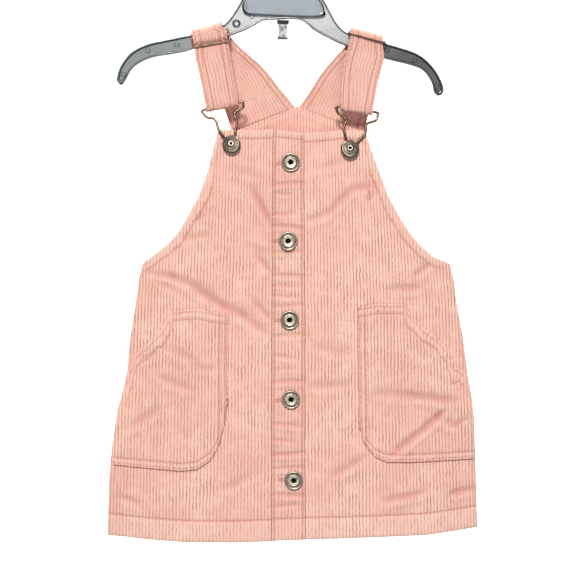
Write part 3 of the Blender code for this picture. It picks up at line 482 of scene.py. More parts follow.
CORDUROY = corduroy_finish()
CLOTH_BACK = cloth_back_finish()
THREAD = thread_finish("polyester_topstitch_thread", "#DE9C8B", "#F8CBBB")
BUTTONHOLE_THREAD = thread_finish("polyester_buttonhole_thread", "#C98878", "#E8B2A4")
NICKEL = metal_finish("antique_nickel", "#C4BAA8", "#1C120D", 0.32)
COPPER = metal_finish("antique_copper_wire", "#6E574A", "#1A0F0B", 0.24)
ZINC = metal_finish("bright_zinc_wire", "#D8D8D6", "#8A8A88", 0.18)
SMOKE = smoke_plastic_finish("smoke_polystyrene", 0.0)
# near black all over: thick plastic and painted edge shade, for the small ring and the bump rings
SMOKE_THICK_AND_EDGE_SHADE = smoke_plastic_finish("smoke_polystyrene_thick_and_edge_shade", 0.9)
SMOKE_PLATE = smoke_plastic_finish("smoke_polystyrene_plate", 0.0, middle="#A9B6C2")
CLIP_PLASTIC = clip_finish()
PAPER = paper_finish()


# ---- the garment's surface --------------------------------------------------------------------
def read(rows, key, name, at, scale=MM):
    """A named column's value where the key column has the value at; works on arrays."""
    keys = np.array([getattr(row, key) for row in rows]) * MM
    values = np.array([getattr(row, name) for row in rows]) * scale
    order = np.argsort(keys)
    return np.interp(at, keys[order], values[order])


def smoothstep(value):
    """Zero to one with soft ends."""
    value = np.clip(value, 0.0, 1.0)
    return value * value * (3.0 - 2.0 * value)


def travelled(steps):
    """Length run so far at each point, from the lengths between them."""
    return np.concatenate([[0.0], np.cumsum(steps)])


def wale_x(wale, z):
    """Where a wale, counted from the front closure, runs at a height."""
    return CENTRE_X + wale * WALE_PITCH * read(LEVELS, "z", "fan", z, 1.0)


def hollow(x, z):
    """Distance of the cloth's inner face from the plane between front and back."""
    left = read(SIDE_SEAM, "z", "left", z)
    right = read(SIDE_SEAM, "z", "right", z)
    across = np.clip((x - left) / (right - left), 0.0, 1.0)
    crown = 1.0 - np.abs(2.0 * across - 1.0) ** CROWN_POWER
    return 0.15 * MM + read(LEVELS, "z", "hollow", z) * crown


CREASE_GAIN = 1.55


def creases(x, z, rows):
    """How far the cloth is pushed in along soft troughs, or out along ridges."""
    total = np.zeros(np.broadcast(x, z).shape)
    for row in rows:
        start_x, start_z = row.x0 * MM, row.z0 * MM
        run_x, run_z = row.x1 * MM - start_x, row.z1 * MM - start_z
        length = math.hypot(run_x, run_z)
        along = ((x - start_x) * run_x + (z - start_z) * run_z) / length ** 2
        aside = ((x - start_x) * run_z - (z - start_z) * run_x) / length
        aside = aside + 0.12 * length * (along - along ** 2) * math.sin(row.x0 + row.z1)
        ends = smoothstep((along + 0.25) / 0.5) * smoothstep((1.25 - along) / 0.5)
        width = row.width * MM * (0.65 + 0.3 * ends)
        total -= row.depth * MM * ends * (np.exp(-(aside / width) ** 2)
                                          - 0.45 * np.exp(-((aside - 2.0 * width) / width) ** 2))
    return total * CREASE_GAIN


def loft(x, z, face):
    """Broad unevenness of cloth that has been worn and washed."""
    side = 1.7 if face > 0 else 0.0
    slow = np.sin(x / 0.031 + z / 0.083 + side) * np.sin(z / 0.047 - x / 0.11 + 2.0 * side)
    quick = np.sin(x / 0.0117 - z / 0.0191 + side) * np.sin(z / 0.0143 + x / 0.027)
    fine = np.sin(x / 0.0049 + z / 0.0083) * np.sin(z / 0.0061 - x / 0.0127 + side)
    return (0.55 * slow + 0.3 * quick + 0.16 * fine) * MM


def ground(x, z, face, lift=0.0):
    """The cloth's outer face without its wales, as a distance from the middle plane."""
    rows = FRONT_CREASES if face < 0 else BACK_CREASES
    calm = smoothstep((hollow(x, z) - 1.0 * MM) / (5.0 * MM))
    return hollow(x, z) + lift + CLOTH_WALL + (creases(x, z, rows) + loft(x, z, face)) * calm


def pile(wale):
    """Height of the pile across a wale, from 0 in the groove to 1 on the crest."""
    return (0.5 + 0.5 * np.cos(2.0 * np.pi * wale)) ** 0.7


def meet(wale, start_z, inside):
    """Climb wales from start_z to where inside(x, z) stops being true."""
    low = np.array(start_z, dtype=float)
    high = np.full(low.shape, -185.0 * MM)
    for _ in range(26):
        middle = (low + high) / 2.0
        within = inside(wale_x(wale, middle), middle)
        low = np.where(within, middle, low)
        high = np.where(within, high, middle)
    return low


def under(top_line):
    """A test for points below a top line and within the garment's outline."""
    def inside(x, z):
        held = (x >= read(DRESS_OUTLINE, "z", "left", z)) & (x <= read(DRESS_OUTLINE, "z", "right", z))
        return held & (z <= read(top_line, "x", "z", x))
    return inside


def hem_z(wale):
    """Height of the hem's edge at a wale."""
    return read(HEM_LINE, "x", "z", wale_x(wale, -600.0 * MM))


def line_at(line):
    """Height of a listed line where a wale crosses it."""
    def height(wale):
        z = np.full(np.shape(wale), line[len(line) // 2].z * MM)
        for _ in range(4):
            z = read(line, "x", "z", wale_x(wale, z))
        return z
    return height


def front_top(wale):
    """Where a front wale ends: at the side seam, the armhole or the bib's top."""
    return meet(wale, hem_z(wale), under(BIB_TOP_LINE))


def back_top(wale):
    """Where a back wale ends: at the side seam, the armhole or the yoke seam."""
    return meet(wale, hem_z(wale), under(BACK_TOP_LINE))


def capped(line):
    """The line's height, or the garment's side where that comes first."""
    height = line_at(line)
    return lambda wale: np.minimum(height(wale), front_top(wale))


# ---- cloth meshes -----------------------------------------------------------------------------
def link(name, data):
    """An object with this data, in the scene."""
    made = bpy.data.objects.new(name, data)
    bpy.context.scene.collection.objects.link(made)
    return made


def mesh_of(bm, name, sharp=None):
    """Mesh data from a bmesh, which is freed; smooth but for edges over sharp degrees."""
    data = bpy.data.meshes.new(name)
    bm.to_mesh(data)
    bm.free()
    if sharp is not None:
        data.shade_smooth()
        data.set_sharp_from_angle(angle=math.radians(sharp))
    return data


def coordinates(data):
    """The places of a mesh's points, one to a row."""
    flat = np.empty(len(data.vertices) * 3)
    data.vertices.foreach_get("co", flat)
    return flat.reshape(-1, 3)


def mark_points(data, name, values):
    """Let the mesh carry a value at each point."""
    data.attributes.new(name, "FLOAT", "POINT").data.foreach_set("value", values.astype(np.float32))


def put(name, data, *materials):
    """Link a mesh or curve as a named piece with its materials."""
    made = link(name, data)
    for finish in materials:
        data.materials.append(finish)
    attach(made, "root")
    return made


def shaped_grid(points, marks):
    """A bmesh grid moved to points[column, row], with a mark for each row in its layer of darkness, for
    thickness and painted edge shade.
    """
    columns, rows = points.shape[:2]
    bm = bmesh.new()
    bmesh.ops.create_grid(bm, x_segments=columns - 1, y_segments=rows - 1, size=1.0)
    layer = bm.verts.layers.float.new("thick")
    for vertex in bm.verts:
        column = round((vertex.co.x + 1.0) / 2.0 * (columns - 1))
        row = round((vertex.co.y + 1.0) / 2.0 * (rows - 1))
        vertex.co = points[column, row]
        vertex[layer] = marks[row]
    return bm


def woven(name, points, wales, runs, shell, wear, thin=None):
    """A grid of cloth moved to points[column, row], with its wale count and run as UVs.

    The wear and shade values are above 0 on ridges, painted paler as rubbed wear and painted highlight,
    and below it in sunk places, which get painted shade; thin, where given, is the share of the shell's
    thickness at each point. Without a shell the grid is a tube whose first and last columns meet.
    """
    columns, rows = points.shape[:2]
    bm = bmesh.new()
    bmesh.ops.create_grid(bm, x_segments=columns - 1, y_segments=rows - 1, size=1.0)
    data = mesh_of(bm, name)
    flat = coordinates(data)
    column = np.rint((flat[:, 0] + 1.0) / 2.0 * (columns - 1)).astype(int)
    row = np.rint((flat[:, 1] + 1.0) / 2.0 * (rows - 1)).astype(int)
    data.vertices.foreach_set("co", points[column, row].ravel())
    corners = np.empty(len(data.loops), dtype=int)
    data.loops.foreach_get("vertex_index", corners)
    layer = data.uv_layers.new(name="wales")
    pair = np.stack([wales[column, row][corners], runs[column, row][corners]], axis=1)
    layer.data.foreach_set("uv", pair.ravel())
    mark_points(data, "wear", wear[column, row])
    data.shade_smooth()
    data.update()
    made = put(name, data, CORDUROY, CLOTH_BACK)
    if shell is None:
        seam = made.modifiers.new("seam", "WELD")
        seam.merge_threshold = 0.00002
        return made
    wall = made.modifiers.new("cloth", "SOLIDIFY")
    wall.thickness = shell
    wall.offset = -1.0
    wall.material_offset = 1
    if thin is not None:
        group = made.vertex_groups.new(name="thin")
        share = np.round(thin[column, row], 2)
        for value in np.unique(share):
            group.add(np.nonzero(share == value)[0].tolist(), float(value), "REPLACE")
        wall.vertex_group = "thin"
    return made


HEM_ROWS = np.array([0.0, 0.4, 1.2, 4.0, 8.0, 12.0, 16.0, 18.6, 19.7, 20.5, 21.3, 22.4, 25.0]) * MM
BAND_ROWS = np.array([0.0, 0.4, 1.2, 2.8, 4.6, 6.4, 7.6, 8.4, 9.2, 10.4, 12.5]) * MM
PLAIN_ROWS = np.array([0.0, 0.4, 1.2, 3.0]) * MM
POCKET_ROWS = np.array([0.0, 0.4, 1.1, 1.8, 2.6, 4.4, 6.2, 7.0, 7.8, 9.6, 12.0]) * MM
MOUTH_ROWS = np.array([0.0, 0.4, 1.1, 2.4, 3.6, 4.8, 6.6, 8.6, 10.0, 11.4, 13.5]) * MM
OUT_OF_REACH = 1.0              # a distance that no band reaches


def rows_between(bottom, top, low, high, stretch, step):
    """Row heights under each column, with bands of rows that follow both edges.

    Gives heights, distance from the bottom edge and distance from the top edge.
    """
    length = top - bottom
    fit = np.minimum(1.0, 0.85 * length / (low[-1] + high[-1] * stretch))
    z_low = bottom[:, None] + low[None, :] * fit[:, None]
    z_high = top[:, None] - (high[::-1][None, :] * stretch[:, None]) * fit[:, None]
    count = max(2, int(round(float(np.max(z_high[:, 0] - z_low[:, -1])) / step)))
    share = np.arange(1, count) / count
    z_middle = z_low[:, -1:] + (z_high[:, :1] - z_low[:, -1:]) * share[None, :]
    z = np.concatenate([z_low, z_middle, z_high], axis=1)
    from_low = np.full(z.shape, OUT_OF_REACH)
    from_high = np.full(z.shape, OUT_OF_REACH)
    from_low[:, :len(low)] = low[None, :] * fit[:, None]
    from_high[:, -len(high):] = high[::-1][None, :] * fit[:, None]
    return z, from_low, from_high


def steepness(x, z):
    """How much longer a slanted edge is than its width, smoothed along it."""
    slope = np.abs(np.gradient(z, x))
    kernel = np.ones(9) / 9.0
    padded = np.concatenate([np.full(4, slope[0]), slope, np.full(4, slope[-1])])
    return np.sqrt(1.0 + np.convolve(np.minimum(padded, 6.0), kernel, mode="valid") ** 2)


def band(distance, seams, along, puff=0.3):
    """Relief of a turned and stitched edge: rounded rim, full cloth, sunk stitch lines, roping."""
    depth = max(seams)
    inside = smoothstep((depth - distance) / (1.0 * MM))
    total = -0.7 * MM * np.exp(-(distance / (0.5 * MM)) ** 2) + puff * MM * inside
    rope = np.sin(2.0 * np.pi * (along / (5.3 * MM) + distance / (7.0 * MM)))
    total += 0.26 * MM * inside * (0.6 + 0.4 * np.sin(along / (9.7 * MM))) * rope
    for seam in seams:
        total -= 0.75 * MM * np.exp(-((distance - seam) / (0.75 * MM)) ** 2)
    return total


def panel(name, face, first, last, bottom, top, lift=0.0, per_wale=5, row_step=3.4 * MM,
          low=PLAIN_ROWS, high=BAND_ROWS,
          low_seams=(), high_seams=(), ramp=None, first_seams=(), last_seams=(), own_top=False):
    """A piece of corduroy on the garment's surface, between two lines and two wales.

    With own_top, the top line is the piece's own free edge rather than the armhole's.
    """
    count = int(round((last - first) * per_wale)) + 1
    wale = np.linspace(first, last, count)
    z_bottom = bottom(wale)
    z_top = np.maximum(top(wale), z_bottom + 6.0 * MM)
    x_top = wale_x(wale, z_top)
    banded = smoothstep((z_top - UNDERARM_Z - 1.0 * MM) / (6.0 * MM))
    if own_top:
        banded = smoothstep((front_top(wale) - z_top) / (2.0 * MM))
    stretch = 1.0 + (steepness(x_top, z_top) - 1.0) * banded
    z, from_low, from_high = rows_between(z_bottom, z_top, low, high, stretch, row_step)
    wales = np.repeat(wale[:, None], z.shape[1], axis=1)
    x = wale_x(wales, z)
    along_low = np.repeat((wale * WALE_PITCH)[:, None], z.shape[1], axis=1)
    run = travelled(np.hypot(np.diff(x_top), np.diff(z_top)))
    along_high = np.repeat(run[:, None], z.shape[1], axis=1)
    relief = np.zeros(z.shape)
    calm = np.ones(z.shape)
    for seams, reach, along, puff, pull, share in (
            (low_seams, from_low, along_low, 0.3, 0.55, 1.0),
            (high_seams, from_high, along_high, 0.3, 0.55, banded[:, None]),
            (first_seams, np.abs(x - wale_x(first, z)), z, 0.15, 0.6, 1.0),
            (last_seams, np.abs(x - wale_x(last, z)), z, 0.15, 0.6, 1.0)):
        if seams:
            relief += band(reach, seams, along, puff) * share
        for seam in seams:
            calm -= pull * np.exp(-((reach - seam) / (0.8 * MM)) ** 2) * share
    sway = 0.28 * MM * np.sin(z / (19.0 * MM) + wales * 0.21) * np.sin(z / (47.0 * MM) + wales * 0.07)
    uneven = 0.88 + 0.12 * np.sin(wales * 7.3 + z / (23.0 * MM)) * np.sin(wales * 2.9 - z / (11.0 * MM))
    height = ground(x, z, face, lift) + relief
    folds = creases(x, z, FRONT_CREASES if face < 0 else BACK_CREASES)
    # crease troughs and sunk stitch lines get painted shade; ridges a paler tone, partly rubbed wear and
    # partly painted highlight
    wear = np.clip(relief / (0.6 * MM) + folds / (4.0 * MM), -1.0, 1.0)
    if ramp is not None:
        height = height + ramp(x)
    height = height + WALE_RELIEF * pile(wales) * uneven * np.clip(calm, 0.2, 1.0)
    left = read(SIDE_SEAM, "z", "left", z)
    right = read(SIDE_SEAM, "z", "right", z)
    seam_reach = np.minimum(x - left, right - x)
    closing = np.where(z < UNDERARM_Z + 2.0 * MM, smoothstep(seam_reach / (4.0 * MM)), 1.0)
    if lift > 0.0:
        closing = np.maximum(closing, 0.75)
    height = height - (1.0 - closing) * 1.1 * MM
    points = np.stack([x + sway * closing, face * height, z], axis=2)
    turned = slice(None, None, -1 if face > 0 else 1)
    return woven(name, points[turned], wales[turned], z[turned], SHELL, wear[turned],
                 thin=0.3 + 0.7 * closing[turned])


def placket_ramp(x):
    """The right front rises to the placket's level at their seam."""
    return 2.4 * MM * smoothstep((x + 24.0 * MM) / (12.0 * MM))


def make_panels():
    """Fronts, placket, back and pockets."""
    hem = (HEM_DEPTH,)
    edge = (BAND_DEPTH,)
    made = {}
    made["right_front"] = panel(
        "right_front_cloth", FRONT, RIGHT_SEAM_WALE, PLACKET_SEAM_WALE, hem_z, front_top,
        low=HEM_ROWS, low_seams=hem, high_seams=edge, ramp=placket_ramp, row_step=2.9 * MM)
    made["left_front"] = panel(
        "left_front_cloth", FRONT, PLACKET_SEAM_WALE + 0.1, LEFT_SEAM_WALE, hem_z, front_top,
        low=HEM_ROWS, low_seams=hem, high_seams=edge, per_wale=4, row_step=2.9 * MM)
    made["placket"] = panel(
        "placket_cloth", FRONT, PLACKET_SEAM_WALE, PLACKET_EDGE_WALE, hem_z, front_top, lift=LAP_LIFT,
        low=HEM_ROWS, low_seams=hem, high_seams=(PLACKET_TOP_INSET,), per_wale=6, row_step=1.3 * MM,
        first_seams=(PLACKET_SEAM_INSET,), last_seams=(PLACKET_EDGE_INSET,))
    made["back_panel"] = panel(
        "back_cloth", BACK, RIGHT_SEAM_WALE, LEFT_SEAM_WALE, hem_z, back_top,
        low=HEM_ROWS, low_seams=hem, high_seams=edge, per_wale=4, row_step=4.8 * MM)
    for side, wales, bottom, top, inner_edge in (
            ("right", RIGHT_POCKET_WALES, RIGHT_POCKET_BOTTOM, RIGHT_POCKET_TOP, "last_seams"),
            ("left", LEFT_POCKET_WALES, LEFT_POCKET_BOTTOM, LEFT_POCKET_TOP, "first_seams")):
        made["pocket_" + side] = panel(
            f"pocket_{side}_cloth", FRONT, *wales, line_at(bottom), capped(top), lift=LAP_LIFT,
            low=POCKET_ROWS, high=MOUTH_ROWS, low_seams=POCKET_SEAMS, high_seams=MOUTH_SEAMS,
            own_top=True, per_wale=6, row_step=2.4 * MM, **{inner_edge: POCKET_SEAMS})
    made["yoke"] = make_yoke()
    return made


YOKE_WALES = (-18.5, 23.5)
YOKE_DEPTH = 34.0 * MM


def make_yoke():
    """The corduroy facing inside the back's top edge; it covers the ends of the straps."""
    count = int((YOKE_WALES[1] - YOKE_WALES[0]) * 6) + 1
    wale = np.linspace(*YOKE_WALES, count)
    top = back_top(wale) + 1.5 * MM
    share = np.concatenate([[0.0, 0.01, 0.03], np.linspace(0.08, 1.0, 16)])
    z = top[:, None] - YOKE_DEPTH * share[None, :]
    wales = np.repeat(wale[:, None], z.shape[1], axis=1)
    x = wale_x(wales, z)
    depth = YOKE_DEPTH * share[None, :] + 0.0 * z
    sewn = band(depth, YOKE_SEAMS, wales * WALE_PITCH)
    relief = WALE_RELIEF * 0.8 * pile(wales) + sewn
    y = hollow(x, np.minimum(z, -192.0 * MM)) - 1.6 * MM - relief
    points = np.stack([x, y, z], axis=2)
    # sunk stitch lines get painted shade; the puffed band a paler tone, partly rubbed wear and partly painted
    # highlight
    wear = np.clip(sewn / (0.6 * MM), -1.0, 1.0)
    return woven("yoke_facing", points[::-1], wales[::-1], z[::-1], SHELL, wear[::-1])


# ---- straps -----------------------------------------------------------------------------------
def raised(base, y, rise, slant=0.0):
    """A section above a line across the strap, such as an arm's top or a bar."""
    aside = rise * slant
    return Section(base.lx + aside, base.lz + rise, base.rx + aside, base.rz + rise, y)


def strap_sections(strap):
    """All sections from the back seam over the arm and round the bar to the free end."""
    sections = list(strap.back)
    sections += [raised(strap.arm, row.y, row.rise) for row in strap.over]
    sections += [raised(strap.adjuster, row.y, row.rise, strap.slant) for row in strap.threading]
    sections += list(strap.front)
    for degrees in FOLD_ANGLES:
        angle = math.radians(degrees)
        y = strap.bar_y - FOLD_RADIUS * math.cos(angle)
        sections.append(raised(strap.bar, y, -FOLD_RADIUS * math.sin(angle)))
    return sections + list(strap.tail)


def smooth_path(places, step):
    """A smooth curve through places that are unevenly spaced, sampled about every step."""
    chord = np.linalg.norm(np.diff(places.reshape(len(places), -1), axis=0), axis=1) / math.sqrt(2.0)
    slopes = np.diff(places, axis=0) / chord[:, None, None]
    tangents = np.concatenate([slopes[:1], np.zeros_like(slopes[1:]), slopes[-1:]])
    for index in range(1, len(places) - 1):
        before, after = chord[index - 1], chord[index]
        tangents[index] = (after * slopes[index - 1] + before * slopes[index]) / (before + after)
    samples = []
    for index, length in enumerate(chord):
        count = max(3, int(math.ceil(length / step)))
        for part in range(count):
            t = part / count
            bend = tangents[index] * (t ** 3 - 2 * t ** 2 + t) + tangents[index + 1] * (t ** 3 - t ** 2)
            samples.append(
                places[index] * (2 * t ** 3 - 3 * t ** 2 + 1) + places[index + 1] * (3 * t ** 2 - 2 * t ** 3)
                + bend * length)
    samples.append(places[-1])
    return np.array(samples)


def strap_frames(strap):
    """Edges and outward normals along the strap."""
    rows = strap_sections(strap)
    places = np.array([[(row.lx, row.y, row.lz), (row.rx, row.y, row.rz)] for row in rows]) * MM
    edges = smooth_path(places, 1.7 * MM)
    middle = edges.mean(axis=1)
    tangent = np.gradient(middle, axis=0)
    across = edges[:, 1] - edges[:, 0]
    normal = np.cross(tangent, across)
    normal /= np.linalg.norm(normal, axis=1)[:, None]
    return edges, middle, across, normal


STRAP_FACE = 72                 # points across each face of a strap
STRAP_HALF = 0.8 * MM
STRAP_RELIEF = 0.32 * MM        # wales are pressed flatter on the straps


def make_strap(strap):
    """A band sewn as a tube: pile on both faces, wales lengthwise, two stitch lines at each edge."""
    edges, middle, across, normal = strap_frames(strap)
    face = np.linspace(0.0, 1.0, STRAP_FACE)
    share = np.concatenate([face, face[::-1]])
    side = np.concatenate([np.ones(STRAP_FACE), -np.ones(STRAP_FACE)])
    width = np.linalg.norm(across, axis=1)
    run = travelled(np.linalg.norm(np.diff(middle, axis=0), axis=1))
    runs = np.repeat(run[None, :], len(share), axis=0)
    wales = (share[:, None] - 0.5) * width[None, :] / WALE_PITCH
    wales = wales + 0.3 * np.sin(runs / (8.3 * MM) + 5.0 * share[:, None]) * np.sin(runs / (19.0 * MM))
    reach = np.minimum(share[:, None], 1.0 - share[:, None]) * width[None, :]
    sewn = band(reach, STRAP_SUNK_LINES, runs, puff=0.1)
    relief = STRAP_RELIEF * pile(wales) + sewn
    # sunk stitch lines get painted shade, and the strap as a whole is painted a little darker
    wear = np.clip(sewn / (0.8 * MM) - 0.25, -1.0, 1.0)
    ripple = 0.3 * MM * np.sin(runs / (7.0 * MM) + 3.0 * share[:, None]) * np.sin(
        runs / (23.0 * MM) - share[:, None] * 4.0)
    ends = np.ones(len(run))
    ends[[0, -1]] = 0.0             # both layers meet where the tube is closed
    lift = 0.15 * MM + side[:, None] * (STRAP_HALF + relief) * ends + ripple
    points = edges[None, :, 0] + across[None, :] * share[:, None, None] + normal[None, :] * lift[:, :, None]
    order = np.concatenate([np.arange(len(share)), [0]])[::-1]
    return woven(strap.name + "_cloth", points[order], wales[order], runs[order], None, wear[order])


# ---- stitches ---------------------------------------------------------------------------------
def thread_work(name, rows, finish=THREAD):
    """Short arched lengths of thread, one for each (middle, along, out, length, thickness)."""
    data = bpy.data.curves.new(name, "CURVE")
    data.dimensions = "3D"
    data.bevel_depth = 1.0
    data.bevel_resolution = 1
    data.use_fill_caps = True
    for middle, along, out, length, thickness in rows:
        reach = along / np.linalg.norm(along) * length / 2.0
        sink = out * thickness * 0.45
        spline = data.splines.new("POLY")
        spline.points.add(3)
        places = (middle - reach - sink, middle - reach * 0.5, middle + reach * 0.5, middle + reach - sink)
        for point, place, share in zip(spline.points, places, (0.5, 1.0, 1.0, 0.5)):
            point.co = (*place, 1.0)
            point.radius = thickness / 2.0 * share
        spline.use_smooth = True
    return put(name, data, finish)


STITCH_STEP = 3.0 * MM
STITCH_LENGTH = 2.5 * MM
STITCH_THREAD = 0.62 * MM


def along_line(xs, zs, step=STITCH_STEP):
    """Points a stitch apart along a line in the front view, with its direction there."""
    run = travelled(np.hypot(np.diff(xs), np.diff(zs)))
    places = np.arange(step / 2.0, run[-1], step)
    x = np.interp(places, run, xs)
    z = np.interp(places, run, zs)
    dx = np.interp(places + 0.1 * step, run, xs) - np.interp(places - 0.1 * step, run, xs)
    dz = np.interp(places + 0.1 * step, run, zs) - np.interp(places - 0.1 * step, run, zs)
    return x, z, dx, dz


def surface_stitches(xs, zs, face, lift=0.0, sink=0.15 * MM):
    """Stitches along a line that lies on the garment's surface."""
    x, z, dx, dz = along_line(np.asarray(xs), np.asarray(zs))
    out = ground(x, z, face, lift) + sink
    ahead = ground(x + dx, z + dz, face, lift) + sink
    middles = np.stack([x, face * out, z], axis=1)
    along = np.stack([dx, face * (ahead - out), dz], axis=1)
    outward = np.array([0.0, face, 0.0])
    return [(middle, way, outward, STITCH_LENGTH, STITCH_THREAD) for middle, way in zip(middles, along)]


def edge_line(first, last, top, inset):
    """A line that follows the top edge between two wales, a set distance inside it."""
    wale = np.linspace(first, last, 240)
    z = top(wale)
    x = wale_x(wale, z)
    steep = steepness(x, z)
    z = z - inset * steep
    return wale_x(wale, z), z


def stitch_edges():
    """Topstitching of the hem and of the bands at the armholes, bib and yoke."""
    hem_front = np.linspace(RIGHT_SEAM_WALE + 0.4, LEFT_SEAM_WALE - 0.4, 300)
    z = hem_z(hem_front) + HEM_DEPTH
    x = wale_x(hem_front, z)
    clear = np.abs(x - 5.3 * MM) > 16.3 * MM
    rows = surface_stitches(x[clear & (x < 0)], z[clear & (x < 0)], FRONT)
    rows += surface_stitches(x[clear & (x > 0)], z[clear & (x > 0)], FRONT)
    rows += surface_stitches(x, z, BACK)
    rows += surface_stitches(x[~clear], z[~clear], FRONT, LAP_LIFT)
    for first, last, top, face in (
            (-45.5, PLACKET_SEAM_WALE, front_top, FRONT), (PLACKET_EDGE_WALE + 0.3, 47.0, front_top, FRONT),
            (-45.5, 47.0, back_top, BACK)):
        xs, zs = edge_line(first, last, top, BAND_DEPTH)
        rows += surface_stitches(xs, zs, face)
    thread_work("topstitch_edges", rows)


def stitch_placket():
    """Topstitching down both sides of the placket and across its top."""
    rows = []
    heights = np.linspace(-604.0 * MM, -221.0 * MM, 120)
    for wale, aside in ((PLACKET_SEAM_WALE, PLACKET_SEAM_INSET), (PLACKET_EDGE_WALE, -PLACKET_EDGE_INSET)):
        xs = wale_x(wale, heights) + aside
        rows += surface_stitches(xs, heights, FRONT, LAP_LIFT)
    xs, zs = edge_line(PLACKET_SEAM_WALE + 0.8, PLACKET_EDGE_WALE - 0.8, front_top, PLACKET_TOP_INSET)
    rows += surface_stitches(xs, zs, FRONT, LAP_LIFT)
    thread_work("topstitch_placket", rows)


def stitch_pockets():
    """Two lines of stitches round each pocket and two along its slanted mouth."""
    rows = []
    for wales, bottom, top, inner in (
            (RIGHT_POCKET_WALES, RIGHT_POCKET_BOTTOM, capped(RIGHT_POCKET_TOP), 1),
            (LEFT_POCKET_WALES, LEFT_POCKET_BOTTOM, capped(LEFT_POCKET_TOP), 0)):
        low = line_at(bottom)
        for inset in POCKET_SEAMS:
            side = -1.0 if inner else 1.0
            edge_wale = wales[inner]
            ends = np.array([edge_wale])
            upright = np.linspace(low(ends)[0] + inset, top(ends)[0] - 1.0 * MM, 60)
            xs = wale_x(edge_wale, upright) + side * inset
            rows += surface_stitches(xs, upright, FRONT, LAP_LIFT)
            span = np.linspace(wales[0] + 0.3, wales[1] - 0.3, 160)
            zs = low(span)
            xs = wale_x(span, zs)
            zs = zs + inset * steepness(xs, zs)
            xs = wale_x(span, zs)
            keep = (xs * side < (xs[-1 if inner else 0] * side) + 1.0) & (
                np.abs(xs - wale_x(edge_wale, zs)) > inset)
            rows += surface_stitches(xs[keep], zs[keep], FRONT, LAP_LIFT)
        for inset in MOUTH_SEAMS:
            span = np.linspace(wales[0] + 0.6, wales[1] - 0.6, 160)
            zs = top(span)
            xs = wale_x(span, zs)
            zs = zs - inset * steepness(xs, zs)
            rows += surface_stitches(wale_x(span, zs), zs, FRONT, LAP_LIFT)
    thread_work("topstitch_pockets", rows)


def make_strap_stitches(strap):
    """Two lines of stitches along each edge of a strap."""
    edges, middle, across, normal = strap_frames(strap)
    run = travelled(np.linalg.norm(np.diff(middle, axis=0), axis=1))
    width = np.linalg.norm(across, axis=1)
    rows = []
    for inset in STRAP_STITCH_LINES:
        for from_left in (True, False):
            share = inset / width
            share = share if from_left else 1.0 - share
            line = edges[:, 0] + across * share[:, None] + normal * (1.0 * MM)
            places = np.arange(2.0 * MM, run[-1] - 1.0 * MM, STITCH_STEP)
            spots, ahead, out = (
                np.stack([np.interp(at, run, field[:, axis]) for axis in range(3)], axis=1)
                for at, field in ((places, line), (places + 0.4 * MM, line), (places, normal)))
            for spot, way, outward in zip(spots, ahead - spots, out):
                rows.append((spot, way, outward, STITCH_LENGTH, STITCH_THREAD))
    return thread_work("topstitch_" + strap.name, rows)


# ---- buttons, buckles, adjusters --------------------------------------------------------------
BUTTON_STEPS = 108
KNURLS = 36
Ring = namedtuple("Ring", "radius height tarnish")
# degrees that a cap leans back at its top and turns to a side, about a point this far above its middle
Tilt = namedtuple("Tilt", "lean turn pivot")
# height is counted from the cap's front edge, outwards
BUTTON_RINGS = [
    Ring(0.0, -2.1, 1.0), Ring(1.9, -2.1, 1.0), Ring(2.15, -1.8, 1.0), Ring(2.2, -0.35, 0.9),
    Ring(2.5, -0.1, 0.4), Ring(3.4, -0.12, 0.2), Ring(4.5, -0.1, 0.15), Ring(5.0, 0.1, 0.0),
    Ring(5.35, 0.1, 0.1), Ring(5.65, -0.2, 0.55), Ring(6.05, -0.3, 0.45), Ring(6.7, -0.3, 0.4),
    Ring(7.2, -0.25, 0.65), Ring(7.55, 0.1, 0.3), Ring(7.95, 0.35, 0.0), Ring(8.4, 0.3, 0.0),
    Ring(8.75, -0.05, 0.1), Ring(8.9, -0.7, 0.35), Ring(8.7, -1.5, 0.6), Ring(7.9, -1.9, 0.8),
    Ring(2.8, -1.9, 0.9), Ring(2.6, -2.2, 0.9),
]
BIB_RINGS = [
    Ring(0.0, -0.5, 1.0), Ring(1.0, -0.5, 1.0), Ring(1.25, 0.8, 0.9), Ring(1.5, 1.05, 0.1),
    Ring(2.3, 1.2, 0.0), Ring(2.9, 0.95, 0.05), Ring(3.15, 0.35, 0.65), Ring(3.5, 0.1, 0.6),
    Ring(4.4, 0.15, 0.2), Ring(5.4, 0.0, 0.1), Ring(6.2, -0.3, 0.15), Ring(6.7, -0.5, 0.5),
    Ring(7.1, -0.55, 0.3), Ring(7.6, -0.7, 0.1), Ring(8.2, -1.1, 0.1), Ring(8.65, -1.6, 0.35),
    Ring(8.9, -2.2, 0.85), Ring(8.8, -2.8, 0.95), Ring(8.2, -3.1, 0.95), Ring(2.8, -3.1, 0.9),
    Ring(2.6, -3.3, 0.9),
]
# knurls lie between two radii; hole is the radius of the dark middle
Cap = namedtuple("Cap", "rings knurl_inside knurl_outside hole")
PLACKET_CAP = Cap(BUTTON_RINGS, 5.5, 7.2, 2.25)
BIB_CAP = Cap(BIB_RINGS, 3.6, 6.8, 1.3)


